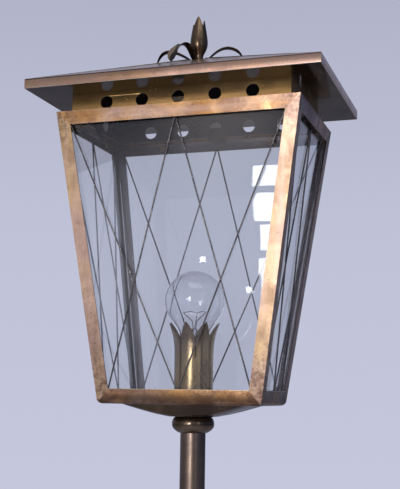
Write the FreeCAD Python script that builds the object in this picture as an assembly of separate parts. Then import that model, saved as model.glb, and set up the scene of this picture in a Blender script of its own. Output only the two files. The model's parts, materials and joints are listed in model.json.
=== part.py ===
"""Lantern floor lamp: an oblong glazed brass lantern with a lift-off roof, on a slim pole.

Millimetres, +Z up, origin on the floor under the pole, the lantern's wide front face towards -Y.
Every function from `corner_post` on makes one piece, and PIECES at the end names them all.
"""
import FreeCAD, Part
import math
import os

V = FreeCAD.Vector

# ---- fits -------------------------------------------------------------------------------------
FIT = 0.05             # radial gap of a turned part in its own bore
LOOSE = 0.3            # gap round a part that is dropped or screwed in by hand
SOLDER_GAP = 0.1       # between sheet parts that solder bridges

# ---- lantern frame, folded from brass angle ---------------------------------------------------
TOP_WIDTH = 250.0      # outside, along X
TOP_DEPTH = 149.0      # outside, along Y
BOTTOM_WIDTH = 164.0
BOTTOM_DEPTH = 99.0
FRAME_HEIGHT = 288.5
ANGLE_LEG = 13.2
ANGLE_WALL = 1.2
TOP_RAIL = 13.6        # height of the rail on the face
BOTTOM_RAIL = 14.6
HEEL_RADIUS = 5.0      # rounding of the frame's lower outside edge

# ---- glazing ----------------------------------------------------------------------------------
WIRE_DIAMETER = 1.6    # lattice wire in front of each pane
WIRE_TUCK = 3.5        # how far a wire end goes behind the frame
GLASS_THICKNESS = 2.0
GLASS_LAP = 6.5        # how far a pane reaches behind the rails
CLIP_WIDTH = 8.0
CLIP_SHEET = 0.5
CLIP_TONGUE = 5.0

# ---- roof -------------------------------------------------------------------------------------
ROOF_OVERHANG = 24.2   # beyond the frame's top edge, all round
ROOF_LIP = 9.7
ROOF_RISE = 37.0       # from the lip's top to the flat under the finial
ROOF_SHEET = 0.8
FINIAL_SEAT_WIDTH = 17.0
FINIAL_SEAT_DEPTH = 15.0
COLLAR_INSET = 11.7    # from the frame's outer edge to the vent collar
COLLAR_HEIGHT = 18.8
COLLAR_SHEET = 0.8
VENT_DIAMETER = 13.0
VENTS_ALONG_FRONT = 5
VENTS_ALONG_SIDE = 2
SOFFIT_LEDGE = 4.0     # of the roof's lower sheet inside the collar
TAB_WIDTH = 14.0
TAB_DROP = 7.0         # how far the locating tabs reach below the frame's top
TAB_SHEET = 1.0

# ---- finial -----------------------------------------------------------------------------------
BUD_HEIGHT = 47.0
BUD_RADIUS = 9.4
BUD_MOUTH_RADIUS = 5.2
BUD_BASE_RADIUS = 5.0
BUD_WALL = 1.2
BUD_PETALS = 4
BUD_CUT = 9.0          # depth of the notches between the petal tips
STUD_RADIUS = 3.0
STUD_IN_BUD = 12.0
STUD_BELOW_NUT = 2.0
NUT_HEIGHT = 5.0
NUT_ACROSS_FLATS = 10.0
FINIAL_WASHER_RADIUS = 6.5
WASHER_THICKNESS = 1.6
LEAF_HUB_RADIUS = 6.0
LEAF_LEAD = 10.5       # how far a leaf keeps low before it rises past the bud
LEAF_SHEET = 1.0
LEAF_WIDTH = 8.5
LEAF_ROOT_WIDTH = 4.5
LEAF_TIP_WIDTH = 3.0
# one row per leaf: direction in degrees, distance and height of its crown, reach, height of its tip
LEAVES = (
    (18.0, 30.0, 14.0, 47.0, 3.0),
    (108.0, 24.0, 12.0, 38.0, -4.0),
    (198.0, 31.0, 8.5, 44.0, -5.0),
    (247.0, 22.0, 13.5, 41.0, -10.5),
)

# ---- pan and candle ---------------------------------------------------------------------------
PAN_SHEET = 1.0
PAN_DROP = 12.9        # from the frame's lower flange to the pan's underside
PAN_RIM_GAP = 3.5      # from the frame's outer face to the pan's rim
PAN_FLAT = 23.0        # half width of the flat in the middle
PAN_CURVE = 1.25       # 1 is straight sides, more is rounder
PAN_STEPS = 4
SLEEVE_RADIUS = 19.4
SLEEVE_WALL = 0.9
SLEEVE_HEIGHT = 56.7   # of the plain tube, to the foot of the slits
PETAL_HEIGHT = 36.0
PETAL_FLARE = 8.0
PETALS = 8
PETAL_SLIT = 1.0
PETAL_POINT = 17.0     # height of each petal's pointed part

# ---- lampholder and lamp bulb -----------------------------------------------------------------
HOLDER_RADIUS = 17.5
HOLDER_HEIGHT = 57.0
HOLDER_CAP_HEIGHT = 16.0
HOLDER_WALL = 2.0
INSERT_BOTTOM = 10.0
INSERT_HEIGHT = 22.0
CONTACT_RISE = 5.0     # of the centre contact above the insert
SCREW_SHELL_WALL = 0.4
TERMINAL_RADIUS = 1.75
TERMINAL_LENGTH = 5.0
BULB_RADIUS = 30.0
BULB_LENGTH = 106.0
BULB_GLASS = 0.8
BULB_NECK_RADIUS = 12.6
BULB_CAP_RADIUS = 13.05
BULB_CAP_HEIGHT = 22.0
BULB_CAP_WALL = 0.4
BULB_TIP_RADIUS = 4.5
BULB_TIP_HEIGHT = 1.5
BULB_INSULATOR_HEIGHT = 3.5
STEM_HEIGHT = 32.0
LEAD_RADIUS = 0.45
FILAMENT_RADIUS = 0.35
FILAMENT_SPAN = 24.0
FILAMENT_RISE = 16.0

# ---- pole and coupling ------------------------------------------------------------------------
POLE_RADIUS = 12.5
POLE_WALL = 1.2
POLE_LENGTH = 1168.0
PLUG_LENGTH = 16.0
NIPPLE_RADIUS = 5.0
NIPPLE_BORE = 3.6
NIPPLE_IN_PLUG = 12.0
NIPPLE_IN_HOLDER = 7.0
COUPLING_RADIUS = 21.0
COUPLING_HEIGHT = 15.8
COUPLING_SIDE = 6.5    # height of its straight side
COUPLING_NECK = 13.4
COUPLING_SOCKET = 8.0

# ---- base -------------------------------------------------------------------------------------
BASE_RADIUS = 150.0
BASE_SHEET = 1.0
BASE_RIM_BOTTOM = 2.5
BASE_SIDE_TOP = 12.0
BASE_SHOULDER = 8.0
BASE_CONE_RISE = 5.0
WEIGHT_BOTTOM = 3.0
WEIGHT_GAP = 2.0       # between the weight and the cover's side
WEIGHT_CHAMFER = 7.0
WEIGHT_BOSS_RADIUS = 34.0
WELL_RADIUS = 17.0     # well under the weight for the nut
WELL_DEPTH = 10.0
WASHER_RADIUS = 13.0
BASE_NUT_HEIGHT = 5.0
BASE_NUT_ACROSS_FLATS = 17.0
FOOT_RADIUS = 9.0
FOOT_HEIGHT = 5.0
FOOT_CIRCLE = 118.0
FEET = 4
FOOT_COLLAR_RADIUS = 21.0
FOOT_COLLAR_HEIGHT = 14.0
CORD_BORE = 3.6
INLET_RADIUS = 6.0
INLET_LENGTH = 7.0
INLET_FLANGE = 1.5
INLET_HEIGHT = 10.5    # of the inlet's axis above the floor
CORD_CHANNEL = 9.0

# ---- levels worked out from the stack ---------------------------------------------------------
BASE_TOP = BASE_SIDE_TOP + BASE_SHOULDER + BASE_CONE_RISE
POLE_TOP = BASE_TOP + POLE_LENGTH
COUPLING_BOTTOM = POLE_TOP - COUPLING_SOCKET
PAN_BOTTOM = COUPLING_BOTTOM + COUPLING_HEIGHT
FRAME_BOTTOM = PAN_BOTTOM + PAN_DROP - ANGLE_WALL
FRAME_TOP = FRAME_BOTTOM + FRAME_HEIGHT
SOFFIT = FRAME_TOP + COLLAR_HEIGHT
LIP_TOP = SOFFIT + ROOF_LIP
FINIAL_SEAT = LIP_TOP + ROOF_RISE
SLEEVE_BOTTOM = PAN_BOTTOM + PAN_SHEET
HOLDER_BOTTOM = SLEEVE_BOTTOM + SLEEVE_WALL
INSERT_TOP = HOLDER_BOTTOM + INSERT_BOTTOM + INSERT_HEIGHT
BULB_TIP = INSERT_TOP + CONTACT_RISE
BULB_CENTRE = BULB_TIP + BULB_LENGTH - BULB_RADIUS
COLLAR_HALF_WIDTH = TOP_WIDTH / 2 - COLLAR_INSET
COLLAR_HALF_DEPTH = TOP_DEPTH / 2 - COLLAR_INSET
WIRE_RADIUS = WIRE_DIAMETER / 2
OUTER_WIRES = ANGLE_WALL + SOLDER_GAP + WIRE_RADIUS
INNER_WIRES = OUTER_WIRES + WIRE_DIAMETER + SOLDER_GAP
GLASS_FRONT = INNER_WIRES + WIRE_RADIUS + SOLDER_GAP
GLASS_BACK = GLASS_FRONT + GLASS_THICKNESS
GLASS_EDGE = GLASS_BACK + LOOSE  # from the frame's outer corner to a pane's edge
SCREW_SHELL_BORE = BULB_CAP_RADIUS + LOOSE


# ---- plain helpers ----------------------------------------------------------------------------
def tube(radius, bore, bottom, height):
    """A round tube on the pole's axis; a bore of 0 makes it a plain cylinder."""
    body = Part.makeCylinder(radius, height, V(0, 0, bottom))
    if bore > 0:
        body = body.cut(Part.makeCylinder(bore, height, V(0, 0, bottom)))
    return body


def polygon_face(points):
    return Part.Face(Part.makePolygon([V(*p) for p in points] + [V(*points[0])]))


def turned(points):
    """A solid turned about the pole's axis from (radius, height) points."""
    return polygon_face([(r, 0, z) for r, z in points]).revolve(V(0, 0, 0), V(0, 0, 1), 360)


def turned_edges(edges):
    """A solid turned about the pole's axis from joined edges in the XZ plane."""
    return Part.Face(Part.Wire(edges)).revolve(V(0, 0, 0), V(0, 0, 1), 360)


def line(a, b):
    return Part.LineSegment(V(a[0], 0, a[1]), V(b[0], 0, b[1])).toShape()


def arc(a, middle, b):
    return Part.Arc(V(a[0], 0, a[1]), V(middle[0], 0, middle[1]), V(b[0], 0, b[1])).toShape()


def curve(a, lead_a, lead_b, b):
    """A smooth curve from a to b; the two leads are the points it starts and ends towards."""
    bezier = Part.BezierCurve()
    bezier.setPoles([V(p[0], 0, p[1]) for p in (a, lead_a, lead_b, b)])
    return bezier.toShape()


def rectangle(half_x, half_y, z):
    corners = [(-half_x, -half_y), (half_x, -half_y), (half_x, half_y), (-half_x, half_y)]
    return Part.makePolygon([V(x, y, z) for x, y in corners + corners[:1]])


def hopper(half_x, half_y, z, top_half_x, top_half_y, top_z):
    """A solid with an oblong bottom and an oblong top, and four flat leaning sides."""
    wires = [rectangle(half_x, half_y, z), rectangle(top_half_x, top_half_y, top_z)]
    return Part.makeLoft(wires, True, True)


def rounded_rectangle(half_x, half_y, radius, z):
    """A closed wire of four sides and four corner arcs."""
    diagonal = radius * (1 - math.sqrt(0.5))
    edges = []
    for sx, sy, along_x in ((1, 1, True), (-1, 1, False), (-1, -1, True), (1, -1, False)):
        on_side = V(sx * half_x, sy * (half_y - radius), z)
        on_end = V(sx * (half_x - radius), sy * half_y, z)
        middle = V(sx * (half_x - diagonal), sy * (half_y - diagonal), z)
        first, last = (on_side, on_end) if along_x else (on_end, on_side)
        if edges:
            edges.append(Part.LineSegment(edges[-1].valueAt(edges[-1].LastParameter), first).toShape())
        edges.append(Part.Arc(first, middle, last).toShape())
    edges.append(Part.LineSegment(last, V(half_x, half_y - radius, z)).toShape())
    return Part.Wire(edges)


def rod(a, b, radius):
    return Part.makeCylinder(radius, (b - a).Length, a, b - a)


ROUND_CORNERS = 2    # the sweep's way of passing a bend


def bent_rod(points, radius):
    """One bent wire through the points, with round bends."""
    ring = Part.Wire([Part.makeCircle(radius, points[0], points[1] - points[0])])
    return Part.makePolygon(points).makePipeShell([ring], True, False, ROUND_CORNERS)


def hexagon(across_flats, bottom, height, bore):
    reach = across_flats / math.sqrt(3)
    corners = [(reach * math.cos(math.radians(60 * i)), reach * math.sin(math.radians(60 * i)), bottom)
               for i in range(6)]
    return polygon_face(corners).extrude(V(0, 0, height)).cut(tube(bore, 0, bottom, height))


def turn(shape, degrees):
    return shape.rotated(V(0, 0, 0), V(0, 0, 1), degrees)


def mirror_x(shape):
    return shape.mirror(V(0, 0, 0), V(1, 0, 0))


def mirror_y(shape):
    return shape.mirror(V(0, 0, 0), V(0, 1, 0))


# ---- the four leaning faces of the lantern ----------------------------------------------------
class Side:
    """One leaning face of the frame, drawn as if it were the front: x along it, -y outwards."""

    def __init__(self, bottom_half, top_half, bottom_out, top_out):
        self.bottom_half = bottom_half
        self.top_half = top_half
        self.bottom_out = bottom_out
        self.top_out = top_out
        self.lean = (top_out - bottom_out) / FRAME_HEIGHT
        self.slant = math.sqrt(1 + self.lean ** 2)
        self.inward = V(0, 1, self.lean) / self.slant

    def half(self, height):
        return self.bottom_half + (self.top_half - self.bottom_half) * height / FRAME_HEIGHT

    def out(self, height):
        return self.bottom_out + self.lean * height

    def opening(self):
        """(half width, height) of the opening's lower and upper corners."""
        low = BOTTOM_RAIL
        high = FRAME_HEIGHT - TOP_RAIL
        return (self.half(low) - ANGLE_LEG, low), (self.half(high) - ANGLE_LEG, high)

    def point(self, x, height, depth):
        """A point at x and height on the face, depth millimetres in from its outside."""
        return V(x, -self.out(height), FRAME_BOTTOM + height) + self.inward * depth

    def plate(self, outline, depth, thickness):
        """A flat sheet parallel to the face, from (x, height) points."""
        points = [self.point(x, height, depth) for x, height in outline]
        return Part.Face(Part.makePolygon(points + points[:1])).extrude(self.inward * thickness)

    def block(self):
        """The lantern as one solid block, its lower edges rounded."""
        body = hopper(self.bottom_half, self.bottom_out, FRAME_BOTTOM, self.top_half, self.top_out, FRAME_TOP)
        low = [e for e in body.Edges if e.BoundBox.ZMax < FRAME_BOTTOM + ANGLE_WALL / 2]
        return body.makeFillet(HEEL_RADIUS, low)

    def wall(self):
        """The outer wall of this face alone."""
        body = self.block()
        return body.cut(body.translated(V(0, ANGLE_WALL * self.slant, 0)))

    def through(self, outline):
        """A prism through the face from (x, height) points, to cut the wall with."""
        points = [V(x, -self.top_out - self.bottom_out, FRAME_BOTTOM + height) for x, height in outline]
        return Part.Face(Part.makePolygon(points + points[:1])).extrude(V(0, self.top_out + self.bottom_out, 0))

    def mitred_sector(self):
        """The strip behind this face, mitred against its neighbours at 45 degrees in plan."""
        wires = []
        for half, out, z in ((self.bottom_half, self.bottom_out, FRAME_BOTTOM),
                             (self.top_half, self.top_out, FRAME_TOP)):
            corners = [(-half, -out), (half, -out),
                       (half - ANGLE_LEG, ANGLE_LEG - out), (ANGLE_LEG - half, ANGLE_LEG - out)]
            wires.append(Part.makePolygon([V(x, y, z) for x, y in corners + corners[:1]]))
        return Part.makeLoft(wires, True, True)

    def rail(self, top):
        """Angle rail: a strip on the face and a flange turned in, both mitred at the ends."""
        (low_x, low), (high_x, high) = self.opening()
        if top:
            outline = [(-self.top_half, FRAME_HEIGHT), (self.top_half, FRAME_HEIGHT), (high_x, high), (-high_x, high)]
            flange_z = FRAME_TOP - ANGLE_WALL
        else:
            outline = [(-self.bottom_half, 0), (self.bottom_half, 0), (low_x, low), (-low_x, low)]
            flange_z = FRAME_BOTTOM
        reach = self.top_half + self.top_out
        sheet = Part.makeBox(2 * reach, 2 * reach, ANGLE_WALL, V(-reach, -reach, flange_z))
        flange = self.block().common(sheet)
        strip = self.wall().common(self.through(outline))
        return strip.fuse(flange).common(self.mitred_sector()).removeSplitter()

    def post_leg(self):
        """The left-hand upright strip of this face, mitred at both ends."""
        (low_x, low), (high_x, high) = self.opening()
        beyond = self.top_half + self.bottom_half
        outline = [(-self.bottom_half, 0), (-low_x, low), (-high_x, high), (-self.top_half, FRAME_HEIGHT),
                   (-beyond, FRAME_HEIGHT), (-beyond, 0)]
        return self.wall().common(self.through(outline))

    def pane(self):
        low = BOTTOM_RAIL - GLASS_LAP
        high = FRAME_HEIGHT - TOP_RAIL + GLASS_LAP
        low_x = self.half(low) - GLASS_EDGE
        high_x = self.half(high) - GLASS_EDGE
        outline = [(-low_x, low), (low_x, low), (high_x, high), (-high_x, high)]
        return self.plate(outline, GLASS_FRONT, GLASS_THICKNESS)

    def lattice(self):
        """Two bent wires: a V in front and an upturned V behind it, crossing as two diamonds."""
        (low_x, low), (high_x, high) = self.opening()
        vee = [(-high_x - WIRE_TUCK / 2, high + WIRE_TUCK), (0, low - WIRE_TUCK),
               (high_x + WIRE_TUCK / 2, high + WIRE_TUCK)]
        peak = [(-low_x - WIRE_TUCK / 2, low - WIRE_TUCK), (0, high + WIRE_TUCK),
                (low_x + WIRE_TUCK / 2, low - WIRE_TUCK)]
        wires = [bent_rod([self.point(x, z, depth) for x, z in path], WIRE_RADIUS)
                 for path, depth in ((vee, OUTER_WIRES), (peak, INNER_WIRES))]
        return Part.Compound(wires)

    def clip(self, x, edge, up):
        """A tab soldered behind the rail and bent over the pane; up is 1 over its top edge, -1 under."""
        left = x - CLIP_WIDTH / 2
        right = x + CLIP_WIDTH / 2
        near = edge + up * SOLDER_GAP
        far = near + up * CLIP_SHEET
        tip = edge - up * CLIP_TONGUE
        web = [(left, near), (right, near), (right, far), (left, far)]
        tongue = [(left, tip), (right, tip), (right, far), (left, far)]
        over_glass = GLASS_BACK + SOLDER_GAP
        body = self.plate(web, ANGLE_WALL + SOLDER_GAP, over_glass - ANGLE_WALL - SOLDER_GAP)
        return body.fuse(self.plate(tongue, over_glass, CLIP_SHEET)).removeSplitter()

    def clips(self):
        low = BOTTOM_RAIL - GLASS_LAP
        high = FRAME_HEIGHT - TOP_RAIL + GLASS_LAP
        made = []
        for edge, up in ((low, -1), (high, 1)):
            for share in (-0.5, 0.5):
                made.append(self.clip(share * self.half(edge), edge, up))
        return made


FRONT = Side(BOTTOM_WIDTH / 2, TOP_WIDTH / 2, BOTTOM_DEPTH / 2, TOP_DEPTH / 2)
LEFT = Side(BOTTOM_DEPTH / 2, TOP_DEPTH / 2, BOTTOM_WIDTH / 2, TOP_WIDTH / 2)


def four_sides(front, left):
    """The front and left pieces, with their copies on the back and the right."""
    left = turn(left, -90)
    return {"front": front, "back": mirror_y(front), "left": left, "right": mirror_x(left)}


def corner_posts(rails):
    """Four angle posts; each takes what the mitred rails leave of its corner."""
    leg = LEFT.post_leg()
    post = FRONT.post_leg().fuse(turn(mirror_x(leg), -90)).removeSplitter()
    post = post.cut([rails[name] for name in ("top_front", "top_left", "bottom_front", "bottom_left")])
    return {
        "front_left": post,
        "front_right": mirror_x(post),
        "back_left": mirror_y(post),
        "back_right": mirror_x(mirror_y(post)),
    }


# ---- roof -------------------------------------------------------------------------------------
def roof_cover():
    """A low hipped sheet roof with its edge folded down into a lip."""
    half_x = TOP_WIDTH / 2 + ROOF_OVERHANG
    half_y = TOP_DEPTH / 2 + ROOF_OVERHANG
    seat_x = FINIAL_SEAT_WIDTH / 2
    seat_y = FINIAL_SEAT_DEPTH / 2
    lip = Part.makeBox(2 * half_x, 2 * half_y, ROOF_LIP, V(-half_x, -half_y, SOFFIT))
    outside = lip.fuse(hopper(half_x, half_y, LIP_TOP, seat_x, seat_y, FINIAL_SEAT))
    in_x = half_x - ROOF_SHEET
    in_y = half_y - ROOF_SHEET
    in_lip = Part.makeBox(2 * in_x, 2 * in_y, ROOF_LIP - ROOF_SHEET, V(-in_x, -in_y, SOFFIT))
    in_hip = hopper(in_x, in_y, LIP_TOP - ROOF_SHEET, seat_x, seat_y, FINIAL_SEAT - ROOF_SHEET)
    shell = outside.cut(in_lip.fuse(in_hip))
    return shell.cut(tube(STUD_RADIUS + FIT, 0, SOFFIT, FINIAL_SEAT - SOFFIT)).removeSplitter()


def roof_soffit():
    """The flat sheet between lip and collar; inside the collar the roof is open for the heat."""
    half_x = TOP_WIDTH / 2 + ROOF_OVERHANG - ROOF_SHEET - SOLDER_GAP
    half_y = TOP_DEPTH / 2 + ROOF_OVERHANG - ROOF_SHEET - SOLDER_GAP
    plate = Part.makeBox(2 * half_x, 2 * half_y, ROOF_SHEET, V(-half_x, -half_y, SOFFIT))
    open_x = COLLAR_HALF_WIDTH - SOFFIT_LEDGE
    open_y = COLLAR_HALF_DEPTH - SOFFIT_LEDGE
    return plate.cut(Part.makeBox(2 * open_x, 2 * open_y, ROOF_SHEET, V(-open_x, -open_y, SOFFIT)))


def collar_strip(half, out, vents):
    """One side of the vent collar, mitred at its ends and drilled with a row of round vents."""
    corners = [(-half, -out), (half, -out), (half - COLLAR_SHEET, COLLAR_SHEET - out),
               (COLLAR_SHEET - half, COLLAR_SHEET - out)]
    strip = polygon_face([(x, y, FRAME_TOP) for x, y in corners]).extrude(V(0, 0, COLLAR_HEIGHT))
    pitch = 2 * half / (vents + 1)
    for i in range(vents):
        centre = V(-half + pitch * (i + 1), -out - COLLAR_SHEET, FRAME_TOP + COLLAR_HEIGHT / 2)
        strip = strip.cut(Part.makeCylinder(VENT_DIAMETER / 2, 3 * COLLAR_SHEET, centre, V(0, 1, 0)))
    return strip


def locating_tab(out):
    """A tab soldered inside the collar that drops just inside the frame's top flange."""
    inside_collar = out - COLLAR_SHEET
    inside_flange = out + COLLAR_INSET - ANGLE_LEG - LOOSE
    inner = min(inside_flange, inside_collar) - TAB_SHEET
    half = TAB_WIDTH / 2
    drop = Part.makeBox(TAB_WIDTH, TAB_SHEET, COLLAR_HEIGHT / 2 + TAB_DROP,
                        V(-half, -inner - TAB_SHEET, FRAME_TOP - TAB_DROP))
    pad = Part.makeBox(TAB_WIDTH, inside_collar - inner, COLLAR_HEIGHT / 4,
                       V(-half, -inside_collar, FRAME_TOP + COLLAR_HEIGHT / 4))
    return drop.fuse(pad).removeSplitter()


def locating_tabs():
    front = locating_tab(COLLAR_HALF_DEPTH)
    left = locating_tab(COLLAR_HALF_WIDTH)
    return Part.Compound(list(four_sides(front, left).values()))


# ---- finial -----------------------------------------------------------------------------------
def bud_outline(inset):
    """Edges of the bud's side from its base up to its open mouth, moved in by the inset."""
    base = FINIAL_SEAT + LEAF_SHEET
    belly = base + 0.33 * BUD_HEIGHT
    mouth = base + BUD_HEIGHT
    low = (BUD_BASE_RADIUS - inset, base)
    wide = (BUD_RADIUS - inset, belly)
    high = (BUD_MOUTH_RADIUS - inset, mouth)
    swell = 0.2 * BUD_HEIGHT
    return (curve(low, (BUD_RADIUS - inset - 1.5, base + swell / 2), (wide[0], belly - swell / 2), wide),
            curve(wide, (wide[0], belly + swell), (high[0] + 2, mouth - swell), high), low, high)


def finial_bud():
    """A hollow tulip bud, its mouth notched into pointed petals."""
    lower, upper, low, high = bud_outline(0)
    body = turned_edges([lower, upper, line(high, (0, high[1])), line((0, high[1]), (0, low[1])),
                         line((0, low[1]), low)])
    lower, upper, low, high = bud_outline(BUD_WALL)
    hollow = turned_edges([lower, upper, line(high, (0, high[1])), line((0, high[1]), (0, low[1])),
                           line((0, low[1]), low)])
    floor = FINIAL_SEAT + LEAF_SHEET + STUD_IN_BUD + BUD_WALL
    hollow = hollow.common(tube(2 * BUD_RADIUS, 0, floor, BUD_HEIGHT))
    body = body.cut(hollow)
    half = math.pi * BUD_MOUTH_RADIUS / BUD_PETALS
    bottom = high[1] - BUD_CUT
    for i in range(BUD_PETALS):
        notch = polygon_face([(0, 0, bottom), (half, 0, high[1]), (-half, 0, high[1])])
        notch = notch.extrude(V(0, 2 * BUD_RADIUS, 0))
        body = body.cut(turn(notch, 360 / BUD_PETALS * (i + 0.5) + 12))
    return body.cut(tube(STUD_RADIUS + FIT, 0, FINIAL_SEAT, LEAF_SHEET + STUD_IN_BUD))


def beside(poles, distance):
    """The poles of a curve moved sideways by the distance, so that it runs beside the first."""
    moved = []
    for i, pole in enumerate(poles):
        ahead = poles[min(i + 1, len(poles) - 1)] - poles[max(i - 1, 0)]
        ahead.normalize()
        moved.append(pole + V(-ahead.z, 0, ahead.x) * distance)
    return moved


def leaf(direction, crown, crown_height, reach, tip_height):
    """One strap leaf: a tapering ribbon that rises, bows over and falls towards the roof."""
    z = FINIAL_SEAT + LEAF_SHEET / 2
    top = z + crown_height
    over = reach - crown
    rise = [V(LEAF_HUB_RADIUS, 0, z), V(LEAF_LEAD, 0, z), V(0.6 * crown, 0, top), V(crown, 0, top)]
    fall = [V(crown, 0, top), V(crown + over / 2, 0, top),
            V(crown + 0.8 * over, 0, z + (crown_height + tip_height) / 2), V(reach, 0, z + tip_height)]
    edges = []
    for distance in (LEAF_SHEET / 2, -LEAF_SHEET / 2):
        for poles in (rise, fall):
            bow = Part.BezierCurve()
            bow.setPoles(beside(poles, distance))
            edges.append(bow.toShape())
    upper_rise, upper_fall, lower_rise, lower_fall = edges
    root = LEAF_HUB_RADIUS / 2
    low_root, high_root = V(root, 0, FINIAL_SEAT), V(root, 0, FINIAL_SEAT + LEAF_SHEET)
    outline = [upper_rise, upper_fall,
               Part.LineSegment(upper_fall.Vertexes[-1].Point, lower_fall.Vertexes[-1].Point).toShape(),
               lower_fall, lower_rise,
               Part.LineSegment(lower_rise.Vertexes[0].Point, low_root).toShape(),
               Part.LineSegment(low_root, high_root).toShape(),
               Part.LineSegment(high_root, upper_rise.Vertexes[0].Point).toShape()]
    profile = Part.Face(Part.Wire(outline))
    half = LEAF_WIDTH / 2
    root_half = LEAF_ROOT_WIDTH / 2
    tip = LEAF_TIP_WIDTH / 2
    end = reach + half
    body = profile.translated(V(0, -half, 0)).extrude(V(0, LEAF_WIDTH, 0))
    low = FINIAL_SEAT - FRAME_HEIGHT
    taper = polygon_face([(root, -root_half, low), (LEAF_HUB_RADIUS, -root_half, low), (crown, -half, low),
                          (end, -tip, low), (end, tip, low), (crown, half, low),
                          (LEAF_HUB_RADIUS, root_half, low), (root, root_half, low)])
    body = body.common(taper.extrude(V(0, 0, 2 * FRAME_HEIGHT)))
    return turn(body, direction)


def finial_leaves():
    """Four strap leaves cut with one hub from one sheet and bent by hand."""
    body = tube(LEAF_HUB_RADIUS, 0, FINIAL_SEAT, LEAF_SHEET)
    for shape in LEAVES:
        body = body.fuse(leaf(*shape))
    return body.cut(tube(STUD_RADIUS + FIT, 0, FINIAL_SEAT, LEAF_SHEET)).removeSplitter()


def finial_stud():
    bottom = FINIAL_SEAT - ROOF_SHEET - WASHER_THICKNESS - NUT_HEIGHT - STUD_BELOW_NUT
    return tube(STUD_RADIUS, 0, bottom, FINIAL_SEAT + LEAF_SHEET + STUD_IN_BUD - bottom)


def finial_washer():
    bottom = FINIAL_SEAT - ROOF_SHEET - WASHER_THICKNESS
    return tube(FINIAL_WASHER_RADIUS, STUD_RADIUS + FIT, bottom, WASHER_THICKNESS)


def finial_nut():
    bottom = FINIAL_SEAT - ROOF_SHEET - WASHER_THICKNESS - NUT_HEIGHT
    return hexagon(NUT_ACROSS_FLATS, bottom, NUT_HEIGHT, STUD_RADIUS + FIT)


# ---- pan and candle ---------------------------------------------------------------------------
def dish(lift):
    """The pan's dished form, from its rim opening down to the flat, raised by the lift."""
    wide_x = BOTTOM_WIDTH / 2 - ANGLE_LEG - LOOSE - lift
    wide_y = BOTTOM_DEPTH / 2 - ANGLE_LEG - LOOSE - lift
    wires = []
    for i in range(PAN_STEPS + 1):
        share = i / PAN_STEPS
        depth = PAN_DROP * (1 - (1 - share) ** PAN_CURVE)
        half_x = wide_x + (PAN_FLAT - lift - wide_x) * share
        half_y = wide_y + (PAN_FLAT - lift - wide_y) * share
        corner = half_y * (0.15 + 0.55 * share)
        wires.append(rounded_rectangle(half_x, half_y, corner, PAN_BOTTOM + PAN_DROP - depth + lift))
    return Part.makeLoft(wires, True, True)


def lantern_pan():
    """The dished floor of the lantern; its rim lies on the frame's lower flange."""
    half_x = BOTTOM_WIDTH / 2 - PAN_RIM_GAP
    half_y = BOTTOM_DEPTH / 2 - PAN_RIM_GAP
    rim = Part.makeBox(2 * half_x, 2 * half_y, PAN_SHEET, V(-half_x, -half_y, PAN_BOTTOM + PAN_DROP))
    body = rim.fuse(dish(0)).cut(dish(PAN_SHEET))
    return body.cut(tube(NIPPLE_RADIUS + FIT, 0, PAN_BOTTOM, PAN_DROP)).removeSplitter()


def tulip_sleeve():
    """The candle's brass sleeve, its mouth slit into petals that turn outwards."""
    bottom = SLEEVE_BOTTOM
    bend = bottom + SLEEVE_HEIGHT
    tip = bend + PETAL_HEIGHT
    inner = SLEEVE_RADIUS - SLEEVE_WALL
    lead = 0.5 * PETAL_HEIGHT
    outside = curve((SLEEVE_RADIUS, bend), (SLEEVE_RADIUS, bend + lead),
                    (SLEEVE_RADIUS + 0.3 * PETAL_FLARE, tip - lead / 2), (SLEEVE_RADIUS + PETAL_FLARE, tip))
    inside = curve((inner + PETAL_FLARE, tip), (inner + 0.3 * PETAL_FLARE, tip - lead / 2),
                   (inner, bend + lead), (inner, bend))
    body = turned_edges([
        line((NIPPLE_RADIUS + FIT, bottom), (SLEEVE_RADIUS, bottom)),
        line((SLEEVE_RADIUS, bottom), (SLEEVE_RADIUS, bend)),
        outside,
        line((SLEEVE_RADIUS + PETAL_FLARE, tip), (inner + PETAL_FLARE, tip)),
        inside,
        line((inner, bend), (inner, bottom + SLEEVE_WALL)),
        line((inner, bottom + SLEEVE_WALL), (NIPPLE_RADIUS + FIT, bottom + SLEEVE_WALL)),
        line((NIPPLE_RADIUS + FIT, bottom + SLEEVE_WALL), (NIPPLE_RADIUS + FIT, bottom)),
    ])
    half = math.tan(math.pi / PETALS) * (SLEEVE_RADIUS + PETAL_FLARE)
    slit = PETAL_SLIT / 2
    shoulder = (slit + 0.4 * half, tip - 0.45 * PETAL_POINT)
    above = tip + 1
    notch = Part.Face(Part.Wire([
        line((-slit, bend), (slit, bend)),
        line((slit, bend), (slit, tip - PETAL_POINT)),
        arc((slit, tip - PETAL_POINT), shoulder, (half, tip)),
        line((half, tip), (half, above)),
        line((half, above), (-half, above)),
        line((-half, above), (-half, tip)),
        arc((-half, tip), (-shoulder[0], shoulder[1]), (-slit, tip - PETAL_POINT)),
        line((-slit, tip - PETAL_POINT), (-slit, bend)),
    ])).extrude(V(0, 2 * SLEEVE_RADIUS, 0))
    for i in range(PETALS):
        body = body.cut(turn(notch, 360 / PETALS * (i + 0.5)))
    return body


# ---- lampholder -------------------------------------------------------------------------------
def lampholder_cap():
    """The holder's lower cup, screwed on the nipple; a ledge inside carries the insert."""
    bottom = HOLDER_BOTTOM
    body = tube(HOLDER_RADIUS, NIPPLE_RADIUS + FIT, bottom, HOLDER_CAP_HEIGHT)
    ledge = HOLDER_RADIUS - 2 * HOLDER_WALL
    body = body.cut(tube(ledge, 0, bottom + NIPPLE_IN_HOLDER, HOLDER_CAP_HEIGHT))
    body = body.cut(tube(HOLDER_RADIUS - HOLDER_WALL, 0, bottom + INSERT_BOTTOM, HOLDER_CAP_HEIGHT))
    return body


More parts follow.
